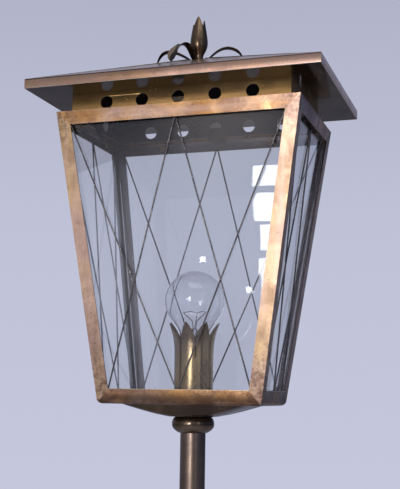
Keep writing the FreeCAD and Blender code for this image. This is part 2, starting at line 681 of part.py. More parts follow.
def lampholder_insert():
    """The ceramic block that carries the contacts; two slots pass the wires."""
    body = tube(HOLDER_RADIUS - HOLDER_WALL - FIT, 0, HOLDER_BOTTOM + INSERT_BOTTOM, INSERT_HEIGHT)
    slot = Part.makeBox(3.2, 6.0, INSERT_HEIGHT, V(-1.6, 8.0, HOLDER_BOTTOM + INSERT_BOTTOM))
    for side in (0, 180):
        body = body.cut(turn(slot, side))
        seat = rod(V(8.0, 0, HOLDER_BOTTOM + INSERT_BOTTOM),
                   V(8.0, 0, HOLDER_BOTTOM + INSERT_BOTTOM + TERMINAL_LENGTH / 2), TERMINAL_RADIUS + FIT)
        body = body.cut(turn(seat, side))
    return body


def terminal_screws():
    screws = []
    for side in (0, 180):
        low = HOLDER_BOTTOM + INSERT_BOTTOM - TERMINAL_LENGTH / 2
        screws.append(turn(rod(V(8.0, 0, low), V(8.0, 0, low + TERMINAL_LENGTH), TERMINAL_RADIUS), side))
    return Part.Compound(screws)


def lampholder_shell():
    """The holder's upper skirt, screwed down on the cap round the threaded shell."""
    bottom = HOLDER_BOTTOM + HOLDER_CAP_HEIGHT
    height = HOLDER_HEIGHT - HOLDER_CAP_HEIGHT
    outer_shell = SCREW_SHELL_BORE + SCREW_SHELL_WALL + FIT
    body = tube(HOLDER_RADIUS, outer_shell, bottom, height)
    return body.cut(tube(HOLDER_RADIUS - HOLDER_WALL, 0, bottom, INSERT_TOP - bottom))


def screw_shell():
    """The threaded brass shell that the bulb's cap screws into, open round the centre contact."""
    top = HOLDER_BOTTOM + HOLDER_HEIGHT - HOLDER_WALL
    outer = SCREW_SHELL_BORE + SCREW_SHELL_WALL
    body = tube(outer, BULB_TIP_RADIUS + 4 * LOOSE, INSERT_TOP, top - INSERT_TOP)
    return body.cut(tube(SCREW_SHELL_BORE, 0, INSERT_TOP + SCREW_SHELL_WALL, top - INSERT_TOP))


def centre_contact():
    """A folded spring strip that the bulb's tip presses on."""
    sheet = CONTACT_RISE / 10
    half = 0.75 * BULB_TIP_RADIUS
    width = 1.2 * BULB_TIP_RADIUS
    foot = Part.makeBox(2 * half, width, sheet, V(-half, -width / 2, INSERT_TOP))
    riser = Part.makeBox(sheet, width, CONTACT_RISE, V(-half, -width / 2, INSERT_TOP))
    tongue = Part.makeBox(2 * half, width, sheet, V(-half, -width / 2, INSERT_TOP + CONTACT_RISE - sheet))
    return foot.fuse([riser, tongue]).removeSplitter()


# ---- bulb -------------------------------------------------------------------------------------
def bulb_side(inset):
    """Edges of the bulb's glass from the neck's end up to the crown, moved in by the inset."""
    radius = BULB_RADIUS - inset
    neck = BULB_NECK_RADIUS - inset
    foot = (neck, BULB_TIP + BULB_TIP_HEIGHT + BULB_INSULATOR_HEIGHT + BULB_CAP_HEIGHT / 2)
    collar = (neck, BULB_TIP + BULB_TIP_HEIGHT + BULB_INSULATOR_HEIGHT + BULB_CAP_HEIGHT)
    low = math.radians(-42)
    join = (radius * math.cos(low), BULB_CENTRE + radius * math.sin(low))
    lead = 0.45 * (join[1] - collar[1])
    sweep = (join[0] - lead * math.sin(-low), join[1] - lead * math.cos(low))
    middle_angle = math.radians(20)
    middle = (radius * math.cos(middle_angle), BULB_CENTRE + radius * math.sin(middle_angle))
    crown = (0, BULB_CENTRE + radius)
    return [line(foot, collar), curve(collar, (neck, collar[1] + lead), sweep, join), arc(join, middle, crown)], foot, crown


def bulb_glass():
    outer, foot, crown = bulb_side(0)
    inner, in_foot, in_crown = bulb_side(BULB_GLASS)
    return turned_edges(outer + [line(crown, in_crown)] + inner[::-1] + [line(in_foot, foot)])


def bulb_stem():
    """The glass mount that closes the neck and holds the leads."""
    foot = BULB_TIP + BULB_TIP_HEIGHT + BULB_INSULATOR_HEIGHT + BULB_CAP_HEIGHT / 2
    flare = BULB_NECK_RADIUS - BULB_GLASS - FIT
    top = foot + STEM_HEIGHT
    return turned([(0, foot), (flare, foot), (flare, foot + 1.2), (4.2, foot + 9), (3.0, top - 5), (4.0, top - 2),
                   (2.6, top), (0, top)])


def bulb_filament():
    """Two leads and the lit wire between them, with one bend held up in the middle."""
    foot = BULB_TIP + BULB_TIP_HEIGHT + BULB_INSULATOR_HEIGHT + BULB_CAP_HEIGHT / 2 + STEM_HEIGHT
    half = FILAMENT_SPAN / 2
    ends = []
    for side in (-1, 1):
        ends.append(bent_rod([V(side * 1.2, 0, foot), V(side * 2.5, 0, foot + FILAMENT_RISE / 2),
                              V(side * half, 0, foot + FILAMENT_RISE)], LEAD_RADIUS))
    path = [V(-half, 0, foot + FILAMENT_RISE), V(-half / 2, half / 2, foot + FILAMENT_RISE + 2),
            V(0, half / 1.5, foot + FILAMENT_RISE), V(half / 2, half / 2, foot + FILAMENT_RISE + 2),
            V(half, 0, foot + FILAMENT_RISE)]
    wire = bent_rod(path, FILAMENT_RADIUS)
    prop = rod(V(0, 0, foot), V(0, half / 1.5, foot + FILAMENT_RISE), FILAMENT_RADIUS)
    return ends[0].fuse([ends[1], wire, prop]).removeSplitter()


def bulb_cap():
    """The bulb's screw cap, drawn plain: a thin shell closed in towards the insulator."""
    bottom = BULB_TIP + BULB_TIP_HEIGHT + BULB_INSULATOR_HEIGHT
    top = bottom + BULB_CAP_HEIGHT
    small = 0.72 * BULB_CAP_RADIUS
    outer = BULB_CAP_RADIUS
    wall = BULB_CAP_WALL
    return turned([(small - wall, bottom), (small, bottom), (outer, bottom + 4), (outer, top), (outer - wall, top),
                   (outer - wall, bottom + 4 + wall), (small - wall, bottom + wall)])


def bulb_insulator():
    bottom = BULB_TIP + BULB_TIP_HEIGHT
    top = bottom + BULB_INSULATOR_HEIGHT
    wide = 0.72 * BULB_CAP_RADIUS
    return turned([(0, bottom), (BULB_TIP_RADIUS, bottom), (wide, top), (0, top)])


def bulb_tip_contact():
    return tube(BULB_TIP_RADIUS, 0, BULB_TIP, BULB_TIP_HEIGHT)


# ---- pole -------------------------------------------------------------------------------------
def top_nipple():
    bottom = POLE_TOP - NIPPLE_IN_PLUG
    return tube(NIPPLE_RADIUS, NIPPLE_BORE, bottom, HOLDER_BOTTOM + NIPPLE_IN_HOLDER - bottom)


def pole_coupling():
    """The turned knob between pole and lantern: flat on top, round below, bored for the pole."""
    top = PAN_BOTTOM
    side = top - COUPLING_SIDE
    drop = COUPLING_HEIGHT - COUPLING_SIDE
    bulge = (COUPLING_NECK + 0.75 * (COUPLING_RADIUS - COUPLING_NECK), side - 0.68 * drop)
    body = turned_edges([
        line((0, COUPLING_BOTTOM), (COUPLING_NECK, COUPLING_BOTTOM)),
        arc((COUPLING_NECK, COUPLING_BOTTOM), bulge, (COUPLING_RADIUS, side)),
        line((COUPLING_RADIUS, side), (COUPLING_RADIUS, top - 1)),
        line((COUPLING_RADIUS, top - 1), (COUPLING_RADIUS - 1, top)),
        line((COUPLING_RADIUS - 1, top), (0, top)),
        line((0, top), (0, COUPLING_BOTTOM)),
    ])
    body = body.cut(tube(POLE_RADIUS + FIT, 0, COUPLING_BOTTOM, COUPLING_SOCKET))
    return body.cut(tube(NIPPLE_RADIUS + FIT, 0, COUPLING_BOTTOM, COUPLING_HEIGHT))


def pole_tube():
    return tube(POLE_RADIUS, POLE_RADIUS - POLE_WALL, BASE_TOP, POLE_LENGTH)


def pole_plug(bottom):
    return tube(POLE_RADIUS - POLE_WALL - FIT, NIPPLE_RADIUS + FIT, bottom, PLUG_LENGTH)


# ---- base -------------------------------------------------------------------------------------
def base_outline(inset):
    """Edges of the base's upper surface from its rim in to the pole's axis, moved in by the inset."""
    radius = BASE_RADIUS - inset
    shoulder = BASE_SHOULDER - inset
    rim = (radius, BASE_RIM_BOTTOM)
    side = (radius, BASE_SIDE_TOP)
    edge = (radius - shoulder, BASE_SIDE_TOP + shoulder)
    round_off = shoulder * (1 - math.sqrt(0.5))
    flat = (WEIGHT_BOSS_RADIUS, BASE_TOP - inset)
    sweep = 0.25 * (edge[0] - flat[0])
    edges = [line(rim, side),
             arc(side, (radius - round_off, BASE_SIDE_TOP + shoulder - round_off), edge),
             curve(edge, (edge[0] - sweep, edge[1]), (flat[0] + sweep, flat[1]), flat),
             line(flat, (0, flat[1]))]
    return edges, rim


def base_solid(inset):
    edges, rim = base_outline(inset)
    edges.append(line((0, BASE_TOP - inset), (0, BASE_RIM_BOTTOM)))
    edges.append(line((0, BASE_RIM_BOTTOM), rim))
    return turned_edges(edges)


def cord_way(radius, start):
    """A round cutter along the cord inlet's axis, from start out past the rim."""
    return Part.makeCylinder(radius, 2 * BASE_RADIUS - start, V(0, start, INLET_HEIGHT), V(0, 1, 0))


def base_cover():
    """The spun brass cover of the base, bored for its nipple and the cord inlet."""
    body = base_solid(0).cut(base_solid(BASE_SHEET))
    body = body.cut(tube(NIPPLE_RADIUS + FIT, 0, 0, 2 * BASE_TOP))
    return body.cut(cord_way(INLET_RADIUS + FIT, BASE_RADIUS / 2))


def base_weight():
    """The cast-iron disc inside the cover, with a well for the nut and a channel for the cord."""
    radius = BASE_RADIUS - BASE_SHEET - WEIGHT_GAP
    top = BASE_SIDE_TOP + BASE_SHOULDER - BASE_SHEET - WEIGHT_GAP
    boss = BASE_TOP - BASE_SHEET
    body = turned([(0, WEIGHT_BOTTOM), (radius, WEIGHT_BOTTOM), (radius, top - WEIGHT_CHAMFER),
                   (radius - WEIGHT_CHAMFER, top), (WEIGHT_BOSS_RADIUS + boss - top, top),
                   (WEIGHT_BOSS_RADIUS, boss), (0, boss)])
    body = body.cut(tube(NIPPLE_RADIUS + FIT, 0, 0, 2 * BASE_TOP))
    body = body.cut(tube(WELL_RADIUS, 0, WEIGHT_BOTTOM, WELL_DEPTH))
    channel = Part.makeBox(2 * CORD_CHANNEL, BASE_RADIUS, INLET_HEIGHT + INLET_RADIUS + LOOSE - WEIGHT_BOTTOM,
                           V(-CORD_CHANNEL, WELL_RADIUS - 1, WEIGHT_BOTTOM))
    body = body.cut(channel)
    for foot in feet_places():
        body = body.cut(Part.makeCylinder(FOOT_RADIUS + FIT, FOOT_HEIGHT - WEIGHT_BOTTOM, foot + V(0, 0, WEIGHT_BOTTOM)))
    return body


def feet_places():
    angles = [math.radians(360 / FEET * (i + 0.5)) for i in range(FEET)]
    return [V(FOOT_CIRCLE * math.cos(a), FOOT_CIRCLE * math.sin(a), 0) for a in angles]


def base_feet():
    return Part.Compound([Part.makeCylinder(FOOT_RADIUS, FOOT_HEIGHT, place) for place in feet_places()])


def base_washer():
    top = WEIGHT_BOTTOM + WELL_DEPTH
    return tube(WASHER_RADIUS, NIPPLE_RADIUS + FIT, top - WASHER_THICKNESS, WASHER_THICKNESS)


def base_nut():
    top = WEIGHT_BOTTOM + WELL_DEPTH - WASHER_THICKNESS
    return hexagon(BASE_NUT_ACROSS_FLATS, top - BASE_NUT_HEIGHT, BASE_NUT_HEIGHT, NIPPLE_RADIUS + FIT)


def base_nipple():
    bottom = WEIGHT_BOTTOM + WELL_DEPTH - WASHER_THICKNESS - BASE_NUT_HEIGHT
    return tube(NIPPLE_RADIUS, NIPPLE_BORE, bottom, BASE_TOP + NIPPLE_IN_PLUG - bottom)


def pole_foot_collar():
    """The turned collar that covers the joint of pole and base."""
    top = BASE_TOP + FOOT_COLLAR_HEIGHT
    neck = POLE_RADIUS + 2.5
    bore = POLE_RADIUS + FIT
    hollow = (neck + 1.5, BASE_TOP + 0.45 * FOOT_COLLAR_HEIGHT)
    return turned_edges([
        line((bore, BASE_TOP), (FOOT_COLLAR_RADIUS, BASE_TOP)),
        line((FOOT_COLLAR_RADIUS, BASE_TOP), (FOOT_COLLAR_RADIUS, BASE_TOP + 2)),
        arc((FOOT_COLLAR_RADIUS, BASE_TOP + 2), hollow, (neck, top - 2)),
        line((neck, top - 2), (neck, top)),
        line((neck, top), (bore, top)),
        line((bore, top), (bore, BASE_TOP)),
    ])


def cord_inlet():
    """The flanged bush that lines the cord's hole in the back of the base."""
    flange = INLET_RADIUS + 2.0
    body = Part.makeCylinder(INLET_RADIUS, INLET_LENGTH, V(0, BASE_RADIUS - INLET_LENGTH, INLET_HEIGHT), V(0, 1, 0))
    disc = Part.makeCylinder(flange, INLET_FLANGE, V(0, BASE_RADIUS, INLET_HEIGHT), V(0, 1, 0))
    body = body.fuse(disc).removeSplitter()
    return body.cut(cord_way(CORD_BORE, BASE_RADIUS - 2 * INLET_LENGTH))


# ---- the whole lamp ---------------------------------------------------------------------------
def lantern_pieces():
    rails = {}
    for level, is_top in (("top", True), ("bottom", False)):
        for side, shape in four_sides(FRONT.rail(is_top), LEFT.rail(is_top)).items():
            rails[level + "_" + side] = shape
    made = {name.replace("_", "_rail_"): shape for name, shape in rails.items()}
    for corner, shape in corner_posts(rails).items():
        made["corner_post_" + corner] = shape
    for side, shape in four_sides(FRONT.pane(), LEFT.pane()).items():
        made["glass_" + side] = shape
    for side, shape in four_sides(FRONT.lattice(), LEFT.lattice()).items():
        made["lattice_" + side] = shape
    collars = four_sides(collar_strip(COLLAR_HALF_WIDTH, COLLAR_HALF_DEPTH, VENTS_ALONG_FRONT),
                         collar_strip(COLLAR_HALF_DEPTH, COLLAR_HALF_WIDTH, VENTS_ALONG_SIDE))
    for side, shape in collars.items():
        made["vent_collar_" + side] = shape
    clips = []
    for shape in four_sides(Part.Compound(FRONT.clips()), Part.Compound(LEFT.clips())).values():
        clips.extend(shape.Solids)
    made["glass_clips"] = Part.Compound(clips)
    return made


def all_pieces():
    made = lantern_pieces()
    made.update({
        "roof_cover": roof_cover(),
        "roof_soffit": roof_soffit(),
        "roof_locating_tabs": locating_tabs(),
        "finial_bud": finial_bud(),
        "finial_leaves": finial_leaves(),
        "finial_stud": finial_stud(),
        "finial_washer": finial_washer(),
        "finial_nut": finial_nut(),
        "lantern_pan": lantern_pan(),
        "tulip_sleeve": tulip_sleeve(),
        "lampholder_cap": lampholder_cap(),
        "lampholder_insert": lampholder_insert(),
        "lampholder_shell": lampholder_shell(),
        "lampholder_screw_shell": screw_shell(),
        "lampholder_centre_contact": centre_contact(),
        "lampholder_terminals": terminal_screws(),
        "bulb_glass": bulb_glass(),
        "bulb_stem": bulb_stem(),
        "bulb_filament": bulb_filament(),
        "bulb_cap": bulb_cap(),
        "bulb_insulator": bulb_insulator(),
        "bulb_tip_contact": bulb_tip_contact(),
        "top_nipple": top_nipple(),
        "pole_coupling": pole_coupling(),
        "pole_tube": pole_tube(),
        "pole_top_plug": pole_plug(POLE_TOP - PLUG_LENGTH),
        "pole_bottom_plug": pole_plug(BASE_TOP),
        "pole_foot_collar": pole_foot_collar(),
        "base_cover": base_cover(),
        "base_weight": base_weight(),
        "base_nipple": base_nipple(),
        "base_washer": base_washer(),
        "base_nut": base_nut(),
        "base_feet": base_feet(),
        "cord_inlet": cord_inlet(),
    })
    return made


os.makedirs("parts", exist_ok=True)
for name, shape in sorted(all_pieces().items()):
    shape.exportStep("parts/" + name + ".step")
    print(name, "solids", len(shape.Solids), "valid", shape.isValid(), "volume", round(shape.Volume, 1))
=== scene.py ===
# %% [markdown]
# # A brass lantern on a pole
# This lesson dresses an oblong glazed lantern, its candle sleeve, its bulb and its slim pole.
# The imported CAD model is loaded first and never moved. It carries every size, so a piece that is
# made here starts from the box or the mesh of the CAD node that it stands for.
# %% Load the frame
import json
import math

import bmesh
import bpy
import numpy as np
from mathutils import Matrix, Vector
from mathutils.bvhtree import BVHTree


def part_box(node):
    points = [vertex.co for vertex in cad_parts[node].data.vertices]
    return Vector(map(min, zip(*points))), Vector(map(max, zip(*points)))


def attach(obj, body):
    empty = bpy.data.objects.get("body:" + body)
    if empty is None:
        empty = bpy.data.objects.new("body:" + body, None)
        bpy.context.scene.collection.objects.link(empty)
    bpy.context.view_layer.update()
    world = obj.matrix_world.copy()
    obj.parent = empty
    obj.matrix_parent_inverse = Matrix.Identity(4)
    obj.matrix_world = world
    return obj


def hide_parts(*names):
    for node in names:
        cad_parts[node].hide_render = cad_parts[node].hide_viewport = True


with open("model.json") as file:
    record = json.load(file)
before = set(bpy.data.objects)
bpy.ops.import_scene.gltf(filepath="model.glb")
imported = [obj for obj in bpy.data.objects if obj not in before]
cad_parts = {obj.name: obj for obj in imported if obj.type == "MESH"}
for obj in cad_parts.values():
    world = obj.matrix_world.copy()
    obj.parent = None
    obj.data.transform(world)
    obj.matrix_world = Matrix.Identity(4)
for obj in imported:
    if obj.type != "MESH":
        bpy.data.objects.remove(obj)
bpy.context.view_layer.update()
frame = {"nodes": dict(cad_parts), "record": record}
nodes = frame["nodes"]
MM = 0.001

# %% [markdown]
# The lantern is measured rather than retyped: a bottom rail gives the height where it starts, the
# top rails its widest outline, and the roof's sheet the place of its folded lip. Later cells place
# solder and wear from these numbers.
# %% Measure the lantern
FRAME_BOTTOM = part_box("bottom_rail_front")[0][2]
TOP_X, _, FRAME_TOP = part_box("top_rail_front")[1]
TOP_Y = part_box("top_rail_right")[1][1]
# Half the width and half the depth of the frame's outline at its foot.
BOTTOM_X = 82.0 * MM
BOTTOM_Y = 49.5 * MM
SAME_PLACE = 0.5 * MM    # points of the sheet nearer than this lie on the same edge of it
cover_points = [vertex.co for vertex in nodes["roof_cover"].data.vertices]
ROOF_EDGE = max(point.x for point in cover_points)
lip_heights = [point.z for point in cover_points if point.x > ROOF_EDGE - SAME_PLACE]
LIP_TOP = max(lip_heights)
LIP_HALF = (LIP_TOP - min(lip_heights)) / 2
BODIES = frame["record"]["behaviour"]["bodies"]
BODY_OF = {node: body for body, names in BODIES.items() for node in names}
print("lantern from", round(FRAME_BOTTOM, 4), "to", round(FRAME_TOP, 4), "lip top", round(LIP_TOP, 4))


# %% [markdown]
# ## Materials
# Every finish is a small node tree, and so are the wires, the solder and the light of the
# surroundings. Writing a tree by hand takes many lines, so this helper adds nodes to one: `node`
# makes a node and fills its sockets with numbers or with the outputs of others. A socket is named
# with _ for a space, or by its number, as in i0 for the first.
# %% A helper for node trees
class Tree:
    """A node tree that starts empty. A feed is a number, a colour or the output of another node."""

    def __init__(self, tree):
        self.tree = tree
        self.tree.nodes.clear()

    def node(self, kind, settings=None, **sockets):
        made = self.tree.nodes.new(kind)
        for key, value in (settings or {}).items():
            setattr(made, key, value)
        for key, value in sockets.items():
            name = int(key[1:]) if key[0] == "i" and key[1:].isdigit() else key.replace("_", " ")
            self.feed(made.inputs[name], value)
        return made

    def feed(self, socket, value):
        if isinstance(value, bpy.types.NodeSocket):
            self.tree.links.new(value, socket)
        else:
            socket.default_value = value

    def math(self, operation, a, b=0.0, clamp=False):
        made = self.node("ShaderNodeMath", {"operation": operation, "use_clamp": clamp}, i0=a, i1=b)
        return made.outputs[0]

    def span(self, value, low, high, to_low=0.0, to_high=1.0, curve="LINEAR"):
        """The value's place between low and high, as a number from to_low to to_high."""
        made = self.node("ShaderNodeMapRange", {"clamp": True, "interpolation_type": curve}, Value=value,
                         From_Min=low, From_Max=high, To_Min=to_low, To_Max=to_high)
        return made.outputs[0]

    def mix(self, amount, a, b, blend="MIX"):
        made = self.node("ShaderNodeMix", {"data_type": "RGBA", "blend_type": blend}, i0=amount, i6=a, i7=b)
        return made.outputs[2]

    def ramp(self, value, stops):
        made = self.node("ShaderNodeValToRGB", Fac=value)
        band = made.color_ramp
        while len(band.elements) < len(stops):
            band.elements.new(0.5)
        for element, (place, colour) in zip(band.elements, stops):
            element.position = place
            element.color = colour
        return made.outputs["Color"]


class Finish(Tree):
    """A material. Its patterns read Object coordinates, and all pieces sit at the origin, so a
    pattern runs on from one soldered strip to the next, as a real patina does."""

    def __init__(self, name):
        self.material = bpy.data.materials.new(name)
        self.material.use_nodes = True
        super().__init__(self.material.node_tree)
        self.out = self.tree.nodes.new("ShaderNodeOutputMaterial")
        self.place = self.node("ShaderNodeTexCoord").outputs["Object"]

    def stretched(self, scale, turn=(0, 0, 0)):
        made = self.node("ShaderNodeMapping", Vector=self.place, Scale=scale, Rotation=turn)
        return made.outputs[0]

    def noise(self, scale, detail=3.0, roughness=0.55, vector=None, distortion=0.0):
        made = self.node("ShaderNodeTexNoise", Vector=vector or self.place, Scale=scale, Detail=detail,
                         Roughness=roughness, Distortion=distortion)
        return made.outputs["Fac"]

    def spots(self, scale, size, soft):
        """1 in round spots that lie at random, 0 between them."""
        cells = self.node("ShaderNodeTexVoronoi", Vector=self.place, Scale=scale, Randomness=1.0)
        return self.span(cells.outputs["Distance"], size, size - soft)

    def bump(self, height, strength, distance):
        made = self.node("ShaderNodeBump", Strength=strength, Distance=distance, Height=height)
        return made.outputs["Normal"]

    def finish(self, **sockets):
        shader = self.node("ShaderNodeBsdfPrincipled", **sockets)
        self.feed(self.out.inputs["Surface"], shader.outputs[0])
        return self.material


def rgb(red, green, blue):
    """A colour from the 0 to 255 numbers of a paint chart, as the linear light that shaders use.
    The numbers in it are those of the sRGB curve."""
    parts = []
    for part in (red, green, blue):
        share = part / 255
        parts.append(share / 12.92 if share <= 0.04045 else ((share + 0.055) / 1.055) ** 2.4)
    return (*parts, 1.0)


print("helper ready")

# %% [markdown]
# ### Aged brass
# Unlacquered brass goes brown in patches, turns pink where solder flux has stripped its zinc, keeps
# a golden shine where hands rub it, and gathers dark specks of oxide. One function makes all the
# brass here. A slow noise picks between a golden and a pink tone, a finer noise darkens patches,
# and stretched noise adds the faint lines of rolled or drawn metal. Roughness follows the same
# patches, because a brown skin is duller than bare metal. The extras are small functions of their
# own: rings of a turned dish, flux stains at the soldered corners, a painted dark reflection along
# the fold of the roof's lip, rubbed edges painted near white as highlights, and painted shade on
# faces that look into the lantern, which were never polished.
# %% What brass gathers, with painted shade and highlights
FLUX_STAIN = rgb(104, 74, 64)
# A painted dark reflection along the fold at the top of the roof's lip.
FOLD_DARK_REFLECTION = rgb(60, 52, 50)
OXIDE = rgb(58, 40, 32)
# Faces that look into the lantern: duller, and painted dark as its shade.
UNPOLISHED_SHADE = rgb(100, 98, 108)
# Rubbed rims, painted near white as highlights.
WORN_HIGHLIGHT = rgb(255, 240, 218)
# The middles of the stains at the frame's upper and lower corners, and how far they reach. Within
# the core they are at their strongest.
STAIN_INSET = 0.006
STAIN_CORE = 0.008
CORNERS = (((TOP_X, TOP_Y, FRAME_TOP - STAIN_INSET), 0.045),
           ((BOTTOM_X, BOTTOM_Y, FRAME_BOTTOM + STAIN_INSET), 0.085))


def turned_rings(f, colour, dark, parts):
    radius = f.math("SQRT", f.math("ADD", f.math("POWER", parts.outputs[0], 2.0),
                                   f.math("POWER", parts.outputs[1], 2.0)))
    outwards = f.node("ShaderNodeCombineXYZ", X=f.math("MULTIPLY", radius, 900.0)).outputs[0]
    return f.mix(f.span(f.noise(1.0, 2.0, 0.5, outwards), 0.3, 0.7, 0.0, 0.3), colour, dark)


def stained_corners(f, colour, parts, strength):
    across = f.node("ShaderNodeCombineXYZ", X=f.math("ABSOLUTE", parts.outputs[0]),
                    Y=f.math("ABSOLUTE", parts.outputs[1]), Z=parts.outputs[2]).outputs[0]
    near = []
    for point, reach in CORNERS:
        gap = f.node("ShaderNodeVectorMath", {"operation": "DISTANCE"}, i0=across, i1=point)
        near.append(f.span(gap.outputs["Value"], reach, STAIN_CORE))
    broken = f.math("MULTIPLY", f.math("MAXIMUM", *near), f.span(f.noise(150.0, 4.0, 0.7), 0.42, 0.62))
    return f.mix(f.math("MULTIPLY", broken, strength), colour, FLUX_STAIN)


# Paints a dark reflection along the fold at the top of the lip.
def painted_fold_reflection(f, colour, parts, strength):
    from_fold = f.math("ABSOLUTE", f.math("SUBTRACT", parts.outputs[2], LIP_TOP))
    return f.mix(f.span(from_fold, 0.0016, 0.0006, 0.0, strength), colour, FOLD_DARK_REFLECTION)


def crowned_lip(f, parts, normal):
    """Bend the normals of the roof's flat lip as if the sheet bulged a little between its folds."""
    from_middle = f.math("SUBTRACT", parts.outputs[2], LIP_TOP - LIP_HALF)
    on_lip = f.node("ShaderNodeClamp", Value=from_middle, Min=-LIP_HALF, Max=LIP_HALF).outputs[0]
    crown = f.math("MULTIPLY", f.math("MULTIPLY", on_lip, on_lip), -11.0)
    bulged = f.node("ShaderNodeBump", Strength=1.0, Distance=1.0, Height=crown, Normal=normal)
    return bulged.outputs["Normal"]


def handled(f, colour, rough, worn_highlight):
    """Bright rims where hands rub, painted near white as highlights, and painted shade, a dark dull skin,
    on faces that look into the lantern.
    """
    # Faces that look into the lantern are painted dark and made duller: painted shade.
    inside = f.node("ShaderNodeAttribute", {"attribute_name": "inside"}).outputs["Fac"]
    colour = f.mix(f.math("MULTIPLY", inside, 0.9), colour, UNPOLISHED_SHADE)
    # Rims marked as edges are painted near white: a painted highlight on real wear.
    edge = f.node("ShaderNodeAttribute", {"attribute_name": "edge"}).outputs["Fac"]
    rubbed_highlight = f.math("MULTIPLY", edge, f.span(f.noise(90.0, 3.0), 0.2, 0.45))
    rough = f.math("SUBTRACT", rough, f.math("MULTIPLY", rubbed_highlight, 0.1), True)
    return f.mix(rubbed_highlight, colour, worn_highlight), f.math("ADD", rough, f.math("MULTIPLY", inside, 0.12), True)


print("stains meet the corners at", [round(v, 3) for v in CORNERS[0][0]])


# %% Aged brass
def aged_brass(name, golden, pink, dark, patch=38.0, tones=14.0, grain=(1, 1, 1), browning=0.6,
               specks=0.35, dull=0.34, shine=0.22, corners=0.0, rings=False, worn_highlight=None, fold=0.0,
               streaks=0.0, relief=0.1):
    """patch and tones set how close together the brown and the pink patches lie, grain which way the
    lines run, browning and specks how much has darkened, shine and dull the roughness of bare and of
    brown metal, and relief how deep the lines and pits are."""
    f = Finish(name)
    slow = f.noise(patch, 4.0, 0.6, distortion=0.6)
    fine = f.noise(patch * 9, 5.0, 0.7)
    lines = f.noise(420.0, 2.0, 0.5, f.stretched(grain))
    tone = f.noise(tones, 3.0, 0.55, f.stretched((1, 1, 1), (0, 0, 0.9)))
    colour = f.mix(f.span(tone, 0.36, 0.64), golden, pink)
    brown = f.math("ADD", f.math("MULTIPLY", slow, 0.8), f.math("MULTIPLY", fine, 0.2))
    brown = f.span(brown, 0.58, 0.4, 0.0, browning)
    colour = f.mix(brown, colour, dark)
    colour = f.mix(f.span(lines, 0.35, 0.65, 0.0, 0.22), colour, dark)
    if streaks:
        bands = f.noise(120.0, 2.0, 0.5, f.stretched(grain))
        colour = f.mix(f.span(bands, 0.38, 0.66, 0.0, streaks), colour, pink)
    parts = f.node("ShaderNodeSeparateXYZ", Vector=f.place)
    if rings:
        colour = turned_rings(f, colour, dark, parts)
    if corners:
        colour = stained_corners(f, colour, parts, corners)
    # A painted dark reflection along the lip's fold.
    if fold:
        colour = painted_fold_reflection(f, colour, parts, fold)
    pits = f.math("MULTIPLY", f.spots(330.0, 0.2, 0.1), f.span(f.noise(60.0, 2.0), 0.5, 0.62))
    colour = f.mix(f.math("MULTIPLY", pits, specks), colour, OXIDE)
    rough = f.math("ADD", f.span(brown, 0.0, browning, shine, dull), f.math("MULTIPLY", pits, 0.2), True)
    # Painted highlights on rubbed rims, and painted shade on faces that look inside.
    if worn_highlight:
        colour, rough = handled(f, colour, rough, worn_highlight)
    height = f.math("SUBTRACT", f.math("MULTIPLY", lines, 0.3), f.math("MULTIPLY", pits, 0.3))
    normal = f.bump(height, relief, 0.0003)
    if fold:
        normal = crowned_lip(f, parts, normal)
    return f.finish(Base_Color=colour, Metallic=0.92, Roughness=rough, Normal=normal)


print("aged brass ready")

# %% [markdown]
# The frame's strips were rubbed and soldered, so they have bright edges, painted near white as
# highlights, streaks and stained corners. The low rails are browner than the top ones, the roof is
# smoother and colder, and what hangs in the shade inside the lantern has gone dull and brown. The
# soffit under the roof and the pan under the lantern are darker copies: painted shade.
# %% The brasses of this lamp
# The bright rim colour given to these finishes paints rubbed rims near white, as highlights.
frame_brass = aged_brass(
    "frame_brass", rgb(230, 196, 146), rgb(206, 174, 158), rgb(136, 104, 84), corners=0.85,
    grain=(1, 1, 0.06), browning=0.5, specks=0.9, dull=0.38, shine=0.27, worn_highlight=WORN_HIGHLIGHT, streaks=0.8,
    relief=0.03)
rail_brass = aged_brass(
    "rail_brass", rgb(232, 174, 92), rgb(196, 168, 156), rgb(116, 78, 58), corners=0.7, tones=20.0,
    grain=(0.06, 0.06, 1), browning=0.7, specks=0.9, dull=0.36, shine=0.24, worn_highlight=WORN_HIGHLIGHT, streaks=0.5,
    relief=0.04)
low_brass = aged_brass(
    "low_rail_brass", rgb(196, 142, 72), rgb(168, 142, 128), rgb(84, 60, 42), corners=0.8, tones=22.0,
    grain=(0.06, 0.06, 1), browning=0.85, specks=0.9, dull=0.32, shine=0.2, worn_highlight=WORN_HIGHLIGHT, streaks=0.2,
    relief=0.04)
# Its fold setting paints a dark reflection along the top of the lip.
roof_brass = aged_brass(
    "roof_brass", rgb(212, 172, 132), rgb(206, 174, 162), rgb(126, 100, 86), patch=26.0, dull=0.26,
    shine=0.16, grain=(0.04, 0.04, 1), browning=0.5, specks=0.4, worn_highlight=WORN_HIGHLIGHT, fold=0.85, streaks=0.8)
